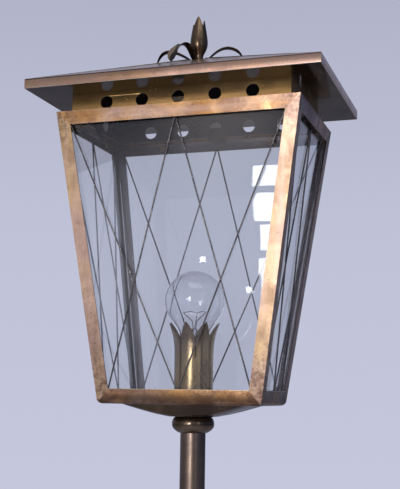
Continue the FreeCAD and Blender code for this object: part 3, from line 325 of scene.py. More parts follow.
# Painted shade: the underside of the roof is a darker copy of its brass.
soffit_brass = aged_brass(
    "soffit_brass", rgb(108, 92, 66), rgb(96, 82, 66), rgb(62, 52, 42), patch=20.0, dull=0.2,
    shine=0.13, specks=0.2, relief=0.03)
collar_brass = aged_brass(
    "collar_brass", rgb(216, 176, 112), rgb(196, 160, 112), rgb(134, 104, 66), patch=30.0,
    grain=(0.04, 0.04, 1), browning=0.45, specks=0.3, dull=0.24, shine=0.15, worn_highlight=rgb(240, 222, 180),
    relief=0.04)
wire_brass = aged_brass(
    "wire_brass", rgb(152, 144, 138), rgb(132, 128, 132), rgb(74, 70, 74), patch=80.0, dull=0.3,
    shine=0.2, specks=0.2)
bud_brass = aged_brass(
    "bud_brass", rgb(140, 118, 92), rgb(122, 104, 90), rgb(60, 50, 42), patch=16.0, browning=0.4,
    grain=(1, 1, 0.05), dull=0.26, shine=0.23, specks=0.0, relief=0.01)
leaf_brass = aged_brass(
    "leaf_brass", rgb(80, 70, 58), rgb(66, 58, 54), rgb(28, 25, 25), patch=70.0, browning=0.85,
    dull=0.26, shine=0.16, specks=0.1, relief=0.04)
pole_brass = aged_brass(
    "pole_brass", rgb(166, 146, 126), rgb(160, 140, 132), rgb(100, 86, 76), patch=24.0,
    grain=(1, 1, 0.03), browning=0.5, dull=0.36, shine=0.28, specks=0.3, relief=0.05)
# Painted shade: the pan under the lantern is a darker copy of its brass.
pan_brass = aged_brass(
    "pan_brass", rgb(124, 102, 80), rgb(112, 94, 82), rgb(58, 48, 42), patch=28.0, dull=0.12,
    shine=0.05, specks=0.2, relief=0.04)
sleeve_brass = aged_brass(
    "sleeve_brass", rgb(166, 142, 104), rgb(146, 128, 112), rgb(92, 76, 62), patch=30.0,
    grain=(1, 1, 0.05), browning=0.4, dull=0.28, shine=0.2, specks=0.2, relief=0.04)
knob_brass = aged_brass(
    "knob_brass", rgb(140, 122, 100), rgb(126, 108, 94), rgb(70, 58, 48), patch=40.0, dull=0.26,
    shine=0.18, specks=0.2, relief=0.04)
hidden_brass = aged_brass(
    "hidden_brass", rgb(104, 92, 78), rgb(92, 82, 76), rgb(48, 42, 38), patch=60.0, dull=0.5,
    shine=0.36, specks=0.2)
base_brass = aged_brass(
    "base_brass", rgb(196, 160, 116), rgb(180, 148, 124), rgb(104, 82, 64), patch=12.0, specks=0.4,
    rings=True, worn_highlight=WORN_HIGHLIGHT)
print("brass finishes made")

# %% [markdown]
# ### Solder, steel, ceramic, plastic, rubber and iron
# Solder is a soft grey metal with a dull skin. The hidden hardware gets the finish that such parts
# have: zinc-plated steel, glazed porcelain, moulded phenolic plastic with a fine orange peel, dusty
# rubber, and a sand-cast iron weight. Two like colours in clouds and a fine bump are enough for each.
# %% The other metals and solids
def plain_finish(name, colour, other, scale, rough, metallic=0.0, bump=0.2, distance=0.0003, coat=0.0):
    f = Finish(name)
    cloud = f.noise(scale, 4.0, 0.6)
    fine = f.noise(scale * 8, 3.0, 0.6)
    tint = f.mix(f.span(cloud, 0.35, 0.65), colour, other)
    roughness = f.span(fine, 0.3, 0.7, rough * 0.8, rough * 1.2)
    return f.finish(Base_Color=tint, Metallic=metallic, Roughness=roughness, Coat_Weight=coat,
                    Normal=f.bump(f.math("ADD", cloud, fine), bump, distance))


solder = plain_finish("solder", rgb(120, 112, 104), rgb(70, 62, 56), 260.0, 0.42, 1.0, 0.5, 0.0006)
steel = plain_finish("zinc_steel", rgb(176, 176, 170), rgb(130, 130, 128), 90.0, 0.32, 1.0)
bright_brass = plain_finish("pressed_brass", rgb(214, 190, 128), rgb(176, 150, 92), 120.0, 0.24, 1.0)
porcelain = plain_finish("porcelain", rgb(232, 228, 218), rgb(218, 212, 200), 60.0, 0.22, coat=0.5)
holder_plastic = plain_finish("moulded_plastic", rgb(28, 24, 21), rgb(40, 33, 28), 80.0, 0.32)
inlet_plastic = plain_finish("inlet_plastic", rgb(44, 34, 27), rgb(56, 44, 35), 120.0, 0.4)
foot_rubber = plain_finish("foot_rubber", rgb(34, 33, 32), rgb(52, 50, 48), 150.0, 0.75)
cast_iron = plain_finish("cast_iron", rgb(58, 57, 56), rgb(78, 70, 62), 240.0, 0.7, 0.6, 0.9, 0.001)
black_glass = plain_finish("black_glass", rgb(16, 15, 18), rgb(28, 26, 30), 300.0, 0.12, coat=0.6)
filament_wire = plain_finish("filament_wire", rgb(120, 116, 112), rgb(84, 80, 78), 900.0, 0.35, 1.0)
print("other finishes made")


# %% [markdown]
# ### Glass
# Drawn glass is clear with slow waves, which bend whatever it mirrors. A real pane lets light
# through almost whole, but a path tracer without caustics would give it a black shadow, so shadow
# rays see a transparent shader instead. The bulb is blown, so its waves are smaller and weaker.
# %% Clear glass
HAZE = 0.035


def clear_glass(name, tint, wave_scale, wave):
    f = Finish(name)
    waves = f.noise(wave_scale, 2.0, 0.4, f.stretched((1, 1, 0.35)))
    film = f.span(f.noise(18.0, 4.0, 0.6), 0.45, 0.75, 0.0, HAZE)
    body = f.node("ShaderNodeBsdfPrincipled", Base_Color=tint, Roughness=film, IOR=1.5,
                  Transmission_Weight=1.0, Normal=f.bump(waves, wave, 0.002))
    clear = f.node("ShaderNodeBsdfTransparent", Color=tint)
    shadow = f.node("ShaderNodeLightPath").outputs["Is Shadow Ray"]
    blend = f.node("ShaderNodeMixShader", i0=shadow, i1=body.outputs[0], i2=clear.outputs[0])
    f.feed(f.out.inputs["Surface"], blend.outputs[0])
    return f.material


pane_glass = clear_glass("pane_glass", (0.875, 0.89, 0.905, 1.0), 14.0, 0.12)
bulb_glass = clear_glass("bulb_glass", (0.98, 0.985, 0.99, 1.0), 30.0, 0.05)
print("glass made")

# %% [markdown]
# ### Which piece gets which finish
# The CAD solids that already have the true form stay, and only take a finish. A table of name
# beginnings is enough: the first that fits counts, so a longer beginning stands before a shorter.
# %% Dress the CAD nodes
FINISH_OF = (
    ("corner_post", frame_brass), ("top_rail", rail_brass), ("bottom_rail", low_brass),
    ("glass_clips", frame_brass), ("glass_", pane_glass), ("lattice", wire_brass),
    ("vent_collar", collar_brass), ("roof_soffit", soffit_brass), ("roof_locating", hidden_brass),
    ("roof_", roof_brass), ("finial_bud", bud_brass), ("finial_leaves", leaf_brass), ("finial_", steel),
    ("lantern_pan", pan_brass), ("tulip_sleeve", sleeve_brass),
    ("lampholder_cap", holder_plastic), ("lampholder_shell", holder_plastic),
    ("lampholder_insert", porcelain), ("lampholder_", bright_brass),
    ("bulb_glass", bulb_glass), ("bulb_stem", bulb_glass), ("bulb_filament", filament_wire),
    ("bulb_insulator", black_glass), ("bulb_", bright_brass),
    ("pole_coupling", knob_brass), ("pole_", pole_brass), ("top_nipple", steel),
    ("base_cover", base_brass), ("base_weight", cast_iron), ("base_feet", foot_rubber),
    ("base_", steel), ("cord_inlet", inlet_plastic),
)


def dress(piece, material):
    piece.data.materials.clear()
    piece.data.materials.append(material)


for name, piece in sorted(nodes.items()):
    dress(piece, next(finish for start, finish in FINISH_OF if name.startswith(start)))
print("dressed", len(nodes), "nodes")

# %% [markdown]
# ## Worn edges, painted highlights and painted shade
# Bent and sawn sheet never ends in a knife edge: filing and polishing leave a narrow rounded rim
# that stays bright. A CAD solid has sharp edges, so a copy of it is bevelled. The new rim faces are
# written into a face attribute, which the brass reads as bright wear and paints near white as a
# highlight. An edge that lies against the next piece is a soldered seam and stays as it is. A second
# attribute marks the faces that look into the lantern, which were never polished and are painted
# nearly black as the shade inside it.
# %% Helpers for copies
SEAM_REACH = 0.0004     # an edge that lies nearer than this to another piece is a soldered seam
SAME_POINT = 0.000005
SHARP = 35.0            # a bend of more degrees than this is an edge
RIM_SMOOTH = 20.0       # less than the 22.5 degrees between a rim and the face beside it
FACES_AXIS = 0.3        # a face whose normal points this much to the lamp's axis looks inside
ANY_HEIGHT = (0.0, 9.0)
neighbour_trees = {}


def tree_of(node):
    if node not in neighbour_trees:
        mesh = nodes[node].data
        neighbour_trees[node] = BVHTree.FromPolygons([vertex.co.copy() for vertex in mesh.vertices],
                                                     [tuple(face.vertices) for face in mesh.polygons])
    return neighbour_trees[node]


def merged(node):
    shape = bmesh.new()
    shape.from_mesh(nodes[node].data)
    bmesh.ops.remove_doubles(shape, verts=shape.verts, dist=SAME_POINT)
    bmesh.ops.dissolve_limit(shape, angle_limit=math.radians(0.3), verts=shape.verts, edges=shape.edges)
    return shape


def place(shape, name, stands_for, material, smooth):
    """Turn a bmesh into a piece that stands for CAD nodes."""
    mesh = bpy.data.meshes.new(name)
    shape.to_mesh(mesh)
    shape.free()
    settle(mesh, name, stands_for, material, smooth)


def settle(mesh, name, stands_for, material, smooth, body=None):
    """Make a mesh a piece that rides where the CAD nodes ride that it stands for, or on a body."""
    piece = bpy.data.objects.new(name, mesh)
    bpy.context.scene.collection.objects.link(piece)
    dress(piece, material)
    for face in mesh.polygons:
        face.use_smooth = True
    mesh.set_sharp_from_angle(angle=math.radians(smooth))
    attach(piece, body or BODY_OF[stands_for[0]])
    if stands_for:
        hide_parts(*stands_for)


print("seams are edges nearer than", SEAM_REACH)


# %% A copy with filed edges
def worn_copy(node, material, rim, against=(), bright=ANY_HEIGHT, between=ANY_HEIGHT):
    """Bevel the sharp edges whose height is in `between`; those in `bright` are polished too, and painted
    near white as highlights.
    """
    shape = merged(node)
    edge_layer = shape.faces.layers.float.new("edge")
    inside_layer = shape.faces.layers.float.new("inside")
    trees = [tree_of(other) for other in against if other != node]
    sharp = math.radians(SHARP)
    chosen = []
    for edge in shape.edges:
        if len(edge.link_faces) != 2 or edge.calc_face_angle(0.0) < sharp or edge.calc_length() < rim:
            continue
        middle = (edge.verts[0].co + edge.verts[1].co) / 2
        in_seam = any(tree.find_nearest(middle, SEAM_REACH)[0] for tree in trees)
        if between[0] < middle.z < between[1] and not in_seam:
            chosen.append(edge)
    rims = bmesh.ops.bevel(shape, geom=chosen, offset=rim, segments=2, profile=0.5, affect="EDGES",
                           clamp_overlap=True)["faces"]
    # Rims within `bright` get the painted highlight.
    for face in rims:
        face[edge_layer] = float(bright[0] < face.calc_center_median().z < bright[1])
    # Faces that look into the lantern get the painted shade.
    for face in shape.faces:
        middle, normal = face.calc_center_median(), face.normal
        inward = -(middle.x * normal.x + middle.y * normal.y) / max(math.hypot(middle.x, middle.y), 0.001)
        face[inside_layer] = float(inward > FACES_AXIS)
    print(node, "rims", len(chosen), "faces", len(shape.faces))
    place(shape, node + "_worn", [node], material, RIM_SMOOTH)


# %% [markdown]
# The thick strips of the frame were filed most. The collar is thin sheet, so its rims are narrow,
# and they keep away from its soldered upper and lower border. The roof's lip is painted bright as a
# highlight only along its lower edge; the fold above it carries a painted dark reflection instead.
# %% Frame, roof and collar with worn edges and painted highlights
BORDER = 0.0015
FRAME_PIECES = [name for name in nodes if name.startswith(("corner_post", "top_rail", "bottom_rail"))]
COLLAR_PIECES = [name for name in nodes if name.startswith("vent_collar")]
for name in sorted(FRAME_PIECES):
    worn_copy(name, nodes[name].data.materials[0], 0.7 * MM, FRAME_PIECES)
for name in sorted(COLLAR_PIECES):
    low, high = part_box(name)
    worn_copy(name, collar_brass, 0.3 * MM, FRAME_PIECES + COLLAR_PIECES + ["roof_soffit"],
              between=(low[2] + BORDER, high[2] - BORDER))
# The lip's fold gets no painted highlight, only the painted dark reflection.
worn_copy("roof_cover", roof_brass, 0.35 * MM, ["roof_soffit"], bright=(0.0, LIP_TOP - BORDER))

# %% [markdown]
# ## The wire lattice
# Each side carries two bent wires, one like a V and one like a peak, whose ends are tucked behind the
# frame and tacked with solder. The path of a wire is its two ends and its bend, read from the CAD
# node. A Geometry Nodes tree rounds the bend, divides the path, pushes its points a little with
# noise, because a hand-pulled wire is never quite straight, and sweeps a circle along it.
# %% A tree for bent wires
def group_with(name, inputs):
    """A geometry tree with named inputs, and its first and last node."""
    group = bpy.data.node_groups.new(name, "GeometryNodeTree")
    steps = Tree(group)
    group.interface.new_socket("Geometry", in_out="INPUT", socket_type="NodeSocketGeometry")
    for label, (kind, value) in inputs.items():
        made = group.interface.new_socket(label, in_out="INPUT", socket_type=kind)
        made.default_value = value
    group.interface.new_socket("Geometry", in_out="OUTPUT", socket_type="NodeSocketGeometry")
    return steps, steps.node("NodeGroupInput"), steps.node("NodeGroupOutput")


def pushed(steps, geometry, reach, dimensions, **noise):
    """Push the points of a geometry about by noise, at most by about half the reach."""
    spot = steps.node("GeometryNodeInputPosition")
    drift = steps.node("ShaderNodeTexNoise", {"noise_dimensions": dimensions}, Vector=spot.outputs[0],
                       Detail=1.0, **noise)
    centred = steps.node("ShaderNodeVectorMath", {"operation": "SUBTRACT"}, i0=drift.outputs["Color"],
                         i1=(0.5, 0.5, 0.5))
    amount = steps.node("ShaderNodeVectorMath", {"operation": "SCALE"}, i0=centred.outputs[0], Scale=reach)
    return steps.node("GeometryNodeSetPosition", Geometry=geometry, Offset=amount.outputs[0])


def finish_tree(steps, geometry, material, out):
    whole = steps.node("GeometryNodeRealizeInstances", Geometry=geometry)
    painted = steps.node("GeometryNodeSetMaterial", Geometry=whole.outputs[0], Material=material)
    steps.feed(out.inputs[0], painted.outputs[0])


steps, wire_in, wire_out = group_with("bent_wires", {
    "Wire Radius": ("NodeSocketFloat", 0.8 * MM), "Bend Radius": ("NodeSocketFloat", 0.4 * MM),
    "Step": ("NodeSocketFloat", 4.0 * MM), "Wobble": ("NodeSocketFloat", 0.25 * MM),
    "Seed": ("NodeSocketInt", 3)})
wire_group = steps.tree
path = steps.node("GeometryNodeMeshToCurve", Mesh=wire_in.outputs["Geometry"])
round_bend = steps.node("GeometryNodeFilletCurve", {"mode": "POLY"}, Curve=path.outputs[0],
                        Radius=wire_in.outputs["Bend Radius"], Count=6)
divided = steps.node("GeometryNodeResampleCurve", {"mode": "LENGTH"}, Curve=round_bend.outputs[0],
                     Length=wire_in.outputs["Step"])
wobbly = pushed(steps, divided.outputs[0], wire_in.outputs["Wobble"], "4D", W=wire_in.outputs["Seed"],
                Scale=22.0)
ring = steps.node("GeometryNodeCurvePrimitiveCircle", Resolution=10, Radius=wire_in.outputs["Wire Radius"])
swept = steps.node("GeometryNodeCurveToMesh", Curve=wobbly.outputs[0], Profile_Curve=ring.outputs[0],
                   Fill_Caps=True)
finish_tree(steps, swept.outputs[0], wire_brass, wire_out)
print("wire tree has", len(wire_group.nodes), "nodes")


def grown(name, points, links, group, values):
    """Run a tree on points and links, and keep the result as a plain mesh."""
    seed = bpy.data.meshes.new(name + "_path")
    seed.from_pydata(points, links, [])
    carrier = bpy.data.objects.new(name + "_path", seed)
    bpy.context.scene.collection.objects.link(carrier)
    modifier = carrier.modifiers.new("grow", "NODES")
    modifier.node_group = group
    for item in group.interface.items_tree:
        if item.item_type == "SOCKET" and item.in_out == "INPUT" and item.name in values:
            modifier[item.identifier] = values[item.name]
    evaluated = carrier.evaluated_get(bpy.context.evaluated_depsgraph_get())
    mesh = bpy.data.meshes.new_from_object(evaluated)
    carrier.modifiers.remove(modifier)
    bpy.data.objects.remove(carrier)
    mesh.name = name
    return mesh


# %% [markdown]
# Where a wire begins, bends and ends is read from the CAD node: its points gather in three places
# above and in three below, and the middle of each gathering is a corner of a path.
# %% Pull the wires
LATTICES = sorted(name for name in nodes if name.startswith("lattice"))


def wire_paths(node):
    """The paths of the V and of the peak, each as end, bend and end."""
    along = 0 if node.endswith(("front", "back")) else 1
    low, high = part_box(node)
    reach = max(abs(low[along]), abs(high[along]))
    gathered = {}
    for vertex in nodes[node].data.vertices:
        point = vertex.co
        side = 0 if abs(point[along]) < reach / 4 else int(math.copysign(1, point[along]))
        gathered.setdefault((point.z > (low[2] + high[2]) / 2, side), []).append(point)
    centre = {key: sum(points, Vector()) / len(points) for key, points in gathered.items()}
    vee = [centre[True, -1], centre[False, 0], centre[True, 1]]
    peak = [centre[False, -1], centre[True, 0], centre[False, 1]]
    return [vee, peak]


for count, name in enumerate(LATTICES):
    points, links = [], []
    for path_points in wire_paths(name):
        links += [(len(points), len(points) + 1), (len(points) + 1, len(points) + 2)]
        points += [tuple(p) for p in path_points]
    mesh = grown(name + "_wires", points, links, wire_group, {"Seed": 3 + count})
    settle(mesh, name + "_wires", [name], wire_brass, 60.0)
    print(name, "paths", len(points) // 3, "faces", len(mesh.polygons))

# %% [markdown]
# ## Solder
# The wires are tacked to the frame where they pass behind it, and the four slopes of the roof meet
# in soldered hips. A bead is a ball that sagged while it was hot, so the tree puts a coarse ball on
# each point, gives each its own size and turn from a fixed seed, and dents all of them with noise.
# The hips use the wire tree again, with a shorter step and more wobble.
# %% Beads where the wires meet the frame
steps, bead_in, bead_out = group_with("solder_beads", {
    "Bead Radius": ("NodeSocketFloat", 1.3 * MM), "Dents": ("NodeSocketFloat", 0.5 * MM),
    "Seed": ("NodeSocketInt", 11)})
bead_group = steps.tree
ball = steps.node("GeometryNodeMeshIcoSphere", Radius=bead_in.outputs["Bead Radius"], Subdivisions=3)
sizes = steps.node("FunctionNodeRandomValue", {"data_type": "FLOAT"}, i2=0.65, i3=1.1,
                   Seed=bead_in.outputs["Seed"])
turns = steps.node("FunctionNodeRandomValue", {"data_type": "FLOAT_VECTOR"}, i1=(6.28, 6.28, 6.28),
                   Seed=bead_in.outputs["Seed"])
beads = steps.node("GeometryNodeInstanceOnPoints", Points=bead_in.outputs["Geometry"],
                   Instance=ball.outputs[0], Rotation=turns.outputs[0], Scale=sizes.outputs[1])
loose = steps.node("GeometryNodeRealizeInstances", Geometry=beads.outputs[0])
dented = pushed(steps, loose.outputs[0], bead_in.outputs["Dents"], "3D", Scale=420.0)
finish_tree(steps, dented.outputs[0], solder, bead_out)

TACK_INSET = 3.2 * MM
tacks = []
for name in LATTICES:
    for ends in wire_paths(name):
        for end, inner in ((ends[0], ends[1]), (ends[1], (ends[0] + ends[2]) / 2), (ends[2], ends[1])):
            tacks.append(tuple(end + (inner - end).normalized() * TACK_INSET))
beads_mesh = grown("wire_tacks", tacks, [], bead_group, {"Seed": 11})
settle(beads_mesh, "wire_tacks", [], solder, 60.0, body="lamp")
print("tacks", len(tacks), "faces", len(beads_mesh.polygons))

# %% [markdown]
# The hips run from the four corners of the lip to the corners of the small flat on which the finial
# sits. Each is let into the sheet a little, so that only its crown shows as a soft ridge of solder.
# %% Soldered hips of the roof
HIP_INSET = 0.0012
HIP_DEPTH = 0.0002
seat_top = max(point.z for point in cover_points)
seat = [point for point in cover_points if point.z > seat_top - SAME_PLACE]
seat_x, seat_y = max(point.x for point in seat), max(point.y for point in seat)
edge_x, edge_y = ROOF_EDGE - HIP_INSET, max(point.y for point in cover_points) - HIP_INSET
points, links = [], []
for sign_x in (-1, 1):
    for sign_y in (-1, 1):
        links.append((len(points), len(points) + 1))
        points += [(sign_x * edge_x, sign_y * edge_y, LIP_TOP - HIP_DEPTH),
                   (sign_x * seat_x, sign_y * seat_y, seat_top - HIP_DEPTH)]
hips_mesh = grown("roof_hips", points, links, wire_group,
                  {"Wire Radius": 0.7 * MM, "Wobble": 0.6 * MM, "Bend Radius": 0.0001,
                   "Step": 2.5 * MM, "Seed": 21})
settle(hips_mesh, "roof_hips", [], solder, 60.0, body="roof")
print("hips run from", round(LIP_TOP, 4), "to", round(seat_top, 4))

# %% [markdown]
# ## The leaves round the bud
# The four leaves were cut from sheet and bent by hand over a rod. Each is a ribbon that leaves the
# hub flat, rises, bows over and falls. Two smooth curves of four guide points each give its line, a
# width that changes along it gives its outline, and its edges droop a little, which stiffens thin
# sheet. The leaf at the front ends in a wide, hollow spoon. Solidify gives the sheet its thickness.
# %% The line of a leaf
LEAF_SHEET = 0.9 * MM
# How many mm from the axis a leaf begins inside the hub, leaves its rim, and starts to rise.
LEAF_ROOT, LEAF_FOOT, LEAF_STRAIGHT = 3, 6, 10.5
HUB_RADIUS = 6.0 * MM
HUB_TALL = 1.1 * MM
HUB_MIDDLE = 0.56 * MM   # above the flat of the roof, as is the next
LEAF_SEAT = 0.5 * MM
ACROSS = 8
HALF_STEPS = 18
# For each leaf its heading in degrees, then in mm the distance and height of its crown, the distance
# and height of its tip, its width at the crown and near the tip, and last how far its edges droop.
LEAVES = (
    (18, 30, 14, 47, 3, 8.0, 5.5, 0.12),
    (108, 24, 12, 38, -4, 8.5, 6.0, 0.14),
    (198, 31, 8.5, 44, -5, 8.5, 6.5, 0.16),
    (247, 20.5, 11.5, 42.5, -11.2, 8.0, 13.0, 0.26),
)


def bow(guides, share):
    """A point of the smooth curve that leaves the first of four guide points and ends at the last."""
    a, b, c, d = guides
    rest = 1 - share
    return a * rest ** 3 + b * 3 * share * rest ** 2 + c * 3 * share ** 2 * rest + d * share ** 3


def leaf_line(crown, height, reach, tip):
    """Points along the middle of a leaf: out of the hub, up to the crown and down to the tip."""
    over = reach - crown
    rise = [Vector(p) * MM for p in ((LEAF_FOOT, 0, 0), (LEAF_STRAIGHT, 0, 0), (0.6 * crown, 0, height),
                                     (crown, 0, height))]
    fall = [Vector(p) * MM for p in ((crown, 0, height), (crown + over / 2, 0, height),
                                     (crown + 0.8 * over, 0, (height + tip) / 2), (reach, 0, tip))]
    points = [Vector((LEAF_ROOT * MM, 0, 0))]
    points += [bow(rise, i / HALF_STEPS) for i in range(HALF_STEPS)]
    return points + [bow(fall, i / HALF_STEPS) for i in range(HALF_STEPS + 1)]


print("points along a leaf", 2 * HALF_STEPS + 2)


# %% Bend four leaves
def leaf_rows(shape, line, heading, wide, spoon, droop):
    """Rows of points across the line. The widths are in mm; the edges hang below the middle."""
    turned = Matrix.Rotation(math.radians(heading), 4, "Z")
    last = len(line) - 1
    rows = []
    for i, point in enumerate(line):
        share = i / last
        width = MM * np.interp(share, (0, 0.05, 0.5, 0.72, 0.88, 0.96, 1),
                               (4.5, 4.5, wide, wide, spoon, 0.7 * spoon, 0.8))
        ahead = (line[min(i + 1, last)] - line[max(i - 1, 0)]).normalized()
        over = ahead.cross(Vector((0, 1, 0))) * -1
        bend = droop * np.interp(share, (0, 0.25, 0.8, 1), (0, 0.6, 1, 0.4))
        row = []
        for j in range(ACROSS + 1):
            side = 2 * j / ACROSS - 1
            spot = point + Vector((0, side * width / 2, 0)) + over * (-bend * width * side * side)
            row.append(shape.verts.new(turned @ spot + Vector((0, 0, seat_top + LEAF_SEAT))))
        rows.append(row)
    return rows


shape = bmesh.new()
for heading, crown, height, reach, tip, wide, spoon, droop in LEAVES:
    rows = leaf_rows(shape, leaf_line(crown, height, reach, tip), heading, wide, spoon, droop)
    for low_row, high_row in zip(rows, rows[1:]):
        for j in range(ACROSS):
            shape.faces.new((low_row[j], high_row[j], high_row[j + 1], low_row[j + 1]))
bmesh.ops.recalc_face_normals(shape, faces=shape.faces)
bmesh.ops.solidify(shape, geom=shape.faces[:], thickness=LEAF_SHEET)
bmesh.ops.create_cone(shape, cap_ends=True, segments=48, radius1=HUB_RADIUS,
                      radius2=HUB_RADIUS - 0.2 * MM, depth=HUB_TALL,
                      matrix=Matrix.Translation((0, 0, seat_top + HUB_MIDDLE)))
place(shape, "bent_leaves", ["finial_leaves"], leaf_brass, 40.0)
print("leaves", len(LEAVES), "hub radius", HUB_RADIUS)

# %% [markdown]
# ## Spun shapes
# The bud and the knob under the lantern were spun or turned, so each is a profile that goes round
# the lamp's axis. `spin` asks a function for the radius and height of each point of each ring, so a
# ring need not be level.
# %% Spin a profile round the axis
SEGMENTS = 96


def spin(shape, count, point):
    """Rings of points, each from point(ring, angle); returns them as rows of vertices."""
    rows = []
    for ring in range(count):
        row = []
        for a in (2 * math.pi * i / SEGMENTS for i in range(SEGMENTS)):
            radius, z = point(ring, a)
            row.append(shape.verts.new((radius * math.cos(a), radius * math.sin(a), z)))
        rows.append(row)
    for low_row, high_row in zip(rows, rows[1:]):
        for i in range(SEGMENTS):
            j = (i + 1) % SEGMENTS
            shape.faces.new((low_row[i], low_row[j], high_row[j], high_row[i]))
    return rows


print("rings of", SEGMENTS, "points")

# %% [markdown]
# The bud is a tulip of thin sheet. Its mouth has four petals of different heights, because between
# two petals the sheet is cut lower. The upper rings sink towards the notches, and each point takes
# its radius from the height it ends at, so the belly stays smooth.
# %% The tulip bud
bud_low, bud_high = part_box("finial_bud")
BUD_TALL = bud_high[2] - bud_low[2]
BUD_RINGS = 30
# The heading of each petal in degrees and how many mm its tip stays below the top.
PETALS = ((-82, 0.0), (8, 3.0), (98, 2.0), (188, 7.0))
NOTCH = 11.0
BELLY = 0.35
BUD_SHEET = 0.9 * MM


def turn_from(a, heading):
    """How many degrees an angle lies away from a heading."""
    return abs((math.degrees(a) - heading + 180) % 360 - 180)


def petal_lift(a, share):
    """How far a point of the mouth stays below the top, growing from nothing at the belly."""
    heading, drop = min(PETALS, key=lambda petal: turn_from(a, petal[0]))
    away = turn_from(a, heading) / 45
    drop += (NOTCH - drop) * away ** 1.7
    return -drop * MM * max(0.0, (share - BELLY) / (1 - BELLY)) ** 1.5


# The outline from foot to mouth, as shares of the height and radii in mm, then smoothed.
heights = np.linspace(0, 1, 61)
radii = np.interp(heights, (0, 0.07, 0.114, 0.19, 0.25, 0.34, 0.43, 0.64, 0.79, 0.9, 1.0),
                  (4.2, 4.2, 4.6, 6.7, 8.1, 9.2, 9.3, 8.0, 6.8, 5.9, 5.2)) * MM
for _ in range(12):
    radii[1:-1] = (radii[:-2] + 2 * radii[1:-1] + radii[2:]) / 4


def bud_point(ring, a):
    z = ring / BUD_RINGS * BUD_TALL + petal_lift(a, ring / BUD_RINGS)
    return np.interp(z / BUD_TALL, heights, radii), bud_low[2] + z


shape = bmesh.new()
spin(shape, BUD_RINGS + 1, bud_point)
bmesh.ops.recalc_face_normals(shape, faces=shape.faces)
bmesh.ops.solidify(shape, geom=shape.faces[:], thickness=BUD_SHEET)
bmesh.ops.recalc_face_normals(shape, faces=shape.faces)
place(shape, "spun_bud", ["finial_bud"], bud_brass, 40.0)
print("bud", round(BUD_TALL, 4), "high")

# %% [markdown]
# The knob is turned from the solid: widest a little above its middle, with a bore below that takes
# the pole. Its outline is a list of heights and radii, as shares of those of the CAD node.
# %% The knob under the lantern
knob_low, knob_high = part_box("pole_coupling")
knob_top, knob_bottom, knob_wide = knob_high[2], knob_low[2], knob_high[0]
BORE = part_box("pole_tube")[1][0] + 0.1 * MM
BORE_DEPTH = 8 * MM
KNOB_OUTLINE = ((0.0, 0.81), (0.04, 0.87), (0.12, 0.93), (0.24, 0.98), (0.4, 1.0), (0.56, 0.995),
                (0.7, 0.95), (0.82, 0.87), (0.92, 0.77), (0.98, 0.69), (1.0, 0.645))
profile = [(knob_wide * wide, knob_top + (knob_bottom - knob_top) * down) for down, wide in KNOB_OUTLINE]
profile += [(BORE, knob_bottom), (BORE, knob_bottom + BORE_DEPTH)]
shape = bmesh.new()
rows = spin(shape, len(profile), lambda ring, a: profile[ring])
shape.faces.new(rows[0])
shape.faces.new(rows[-1])
bmesh.ops.recalc_face_normals(shape, faces=shape.faces)
place(shape, "turned_knob", ["pole_coupling"], knob_brass, 40.0)
print("knob", round(knob_top - knob_bottom, 4), "high")

# %% [markdown]
# ## Stage
# The picture was taken from a little below, so the camera stands at the height of the lantern's
# foot and looks up. A long lens keeps the lantern's lines nearly parallel. Its length follows from
# the focal length in pixels that a fit to the lantern's corners gave. The matrix below is built from
# the camera's heading, its tilt and a slight roll.
# %% Camera
FOCAL_PIXELS, PICTURE_WIDTH, SENSOR = 998.0, 400.0, 36.0
CAMERA_PLACE = Vector((0.31851, -0.95107, FRAME_BOTTOM + 0.01113))
HEADING, TILT, ROLL = (math.radians(v) for v in (18.28, -8.48, 0.87))
back = Vector((math.sin(HEADING) * math.cos(TILT), -math.cos(HEADING) * math.cos(TILT), math.sin(TILT)))
right = (-back).cross(Vector((0, 0, 1))).normalized()
up = right.cross(-back)
right_rolled = right * math.cos(ROLL) + up * math.sin(ROLL)
up_rolled = up * math.cos(ROLL) - right * math.sin(ROLL)
camera = bpy.data.objects.new("camera", bpy.data.cameras.new("camera"))
camera.data.sensor_fit = "HORIZONTAL"
camera.data.sensor_width = SENSOR
camera.data.lens = SENSOR * FOCAL_PIXELS / PICTURE_WIDTH
camera.data.clip_start = 0.02
camera.matrix_world = Matrix((
    (right_rolled.x, up_rolled.x, back.x, CAMERA_PLACE.x),
    (right_rolled.y, up_rolled.y, back.y, CAMERA_PLACE.y),
    (right_rolled.z, up_rolled.z, back.z, CAMERA_PLACE.z),
    (0, 0, 0, 1),
))
bpy.context.scene.collection.objects.link(camera)
bpy.context.scene.camera = camera
bpy.context.scene.view_settings.view_transform = "Standard"
print("camera lens", round(camera.data.lens, 1), "mm")

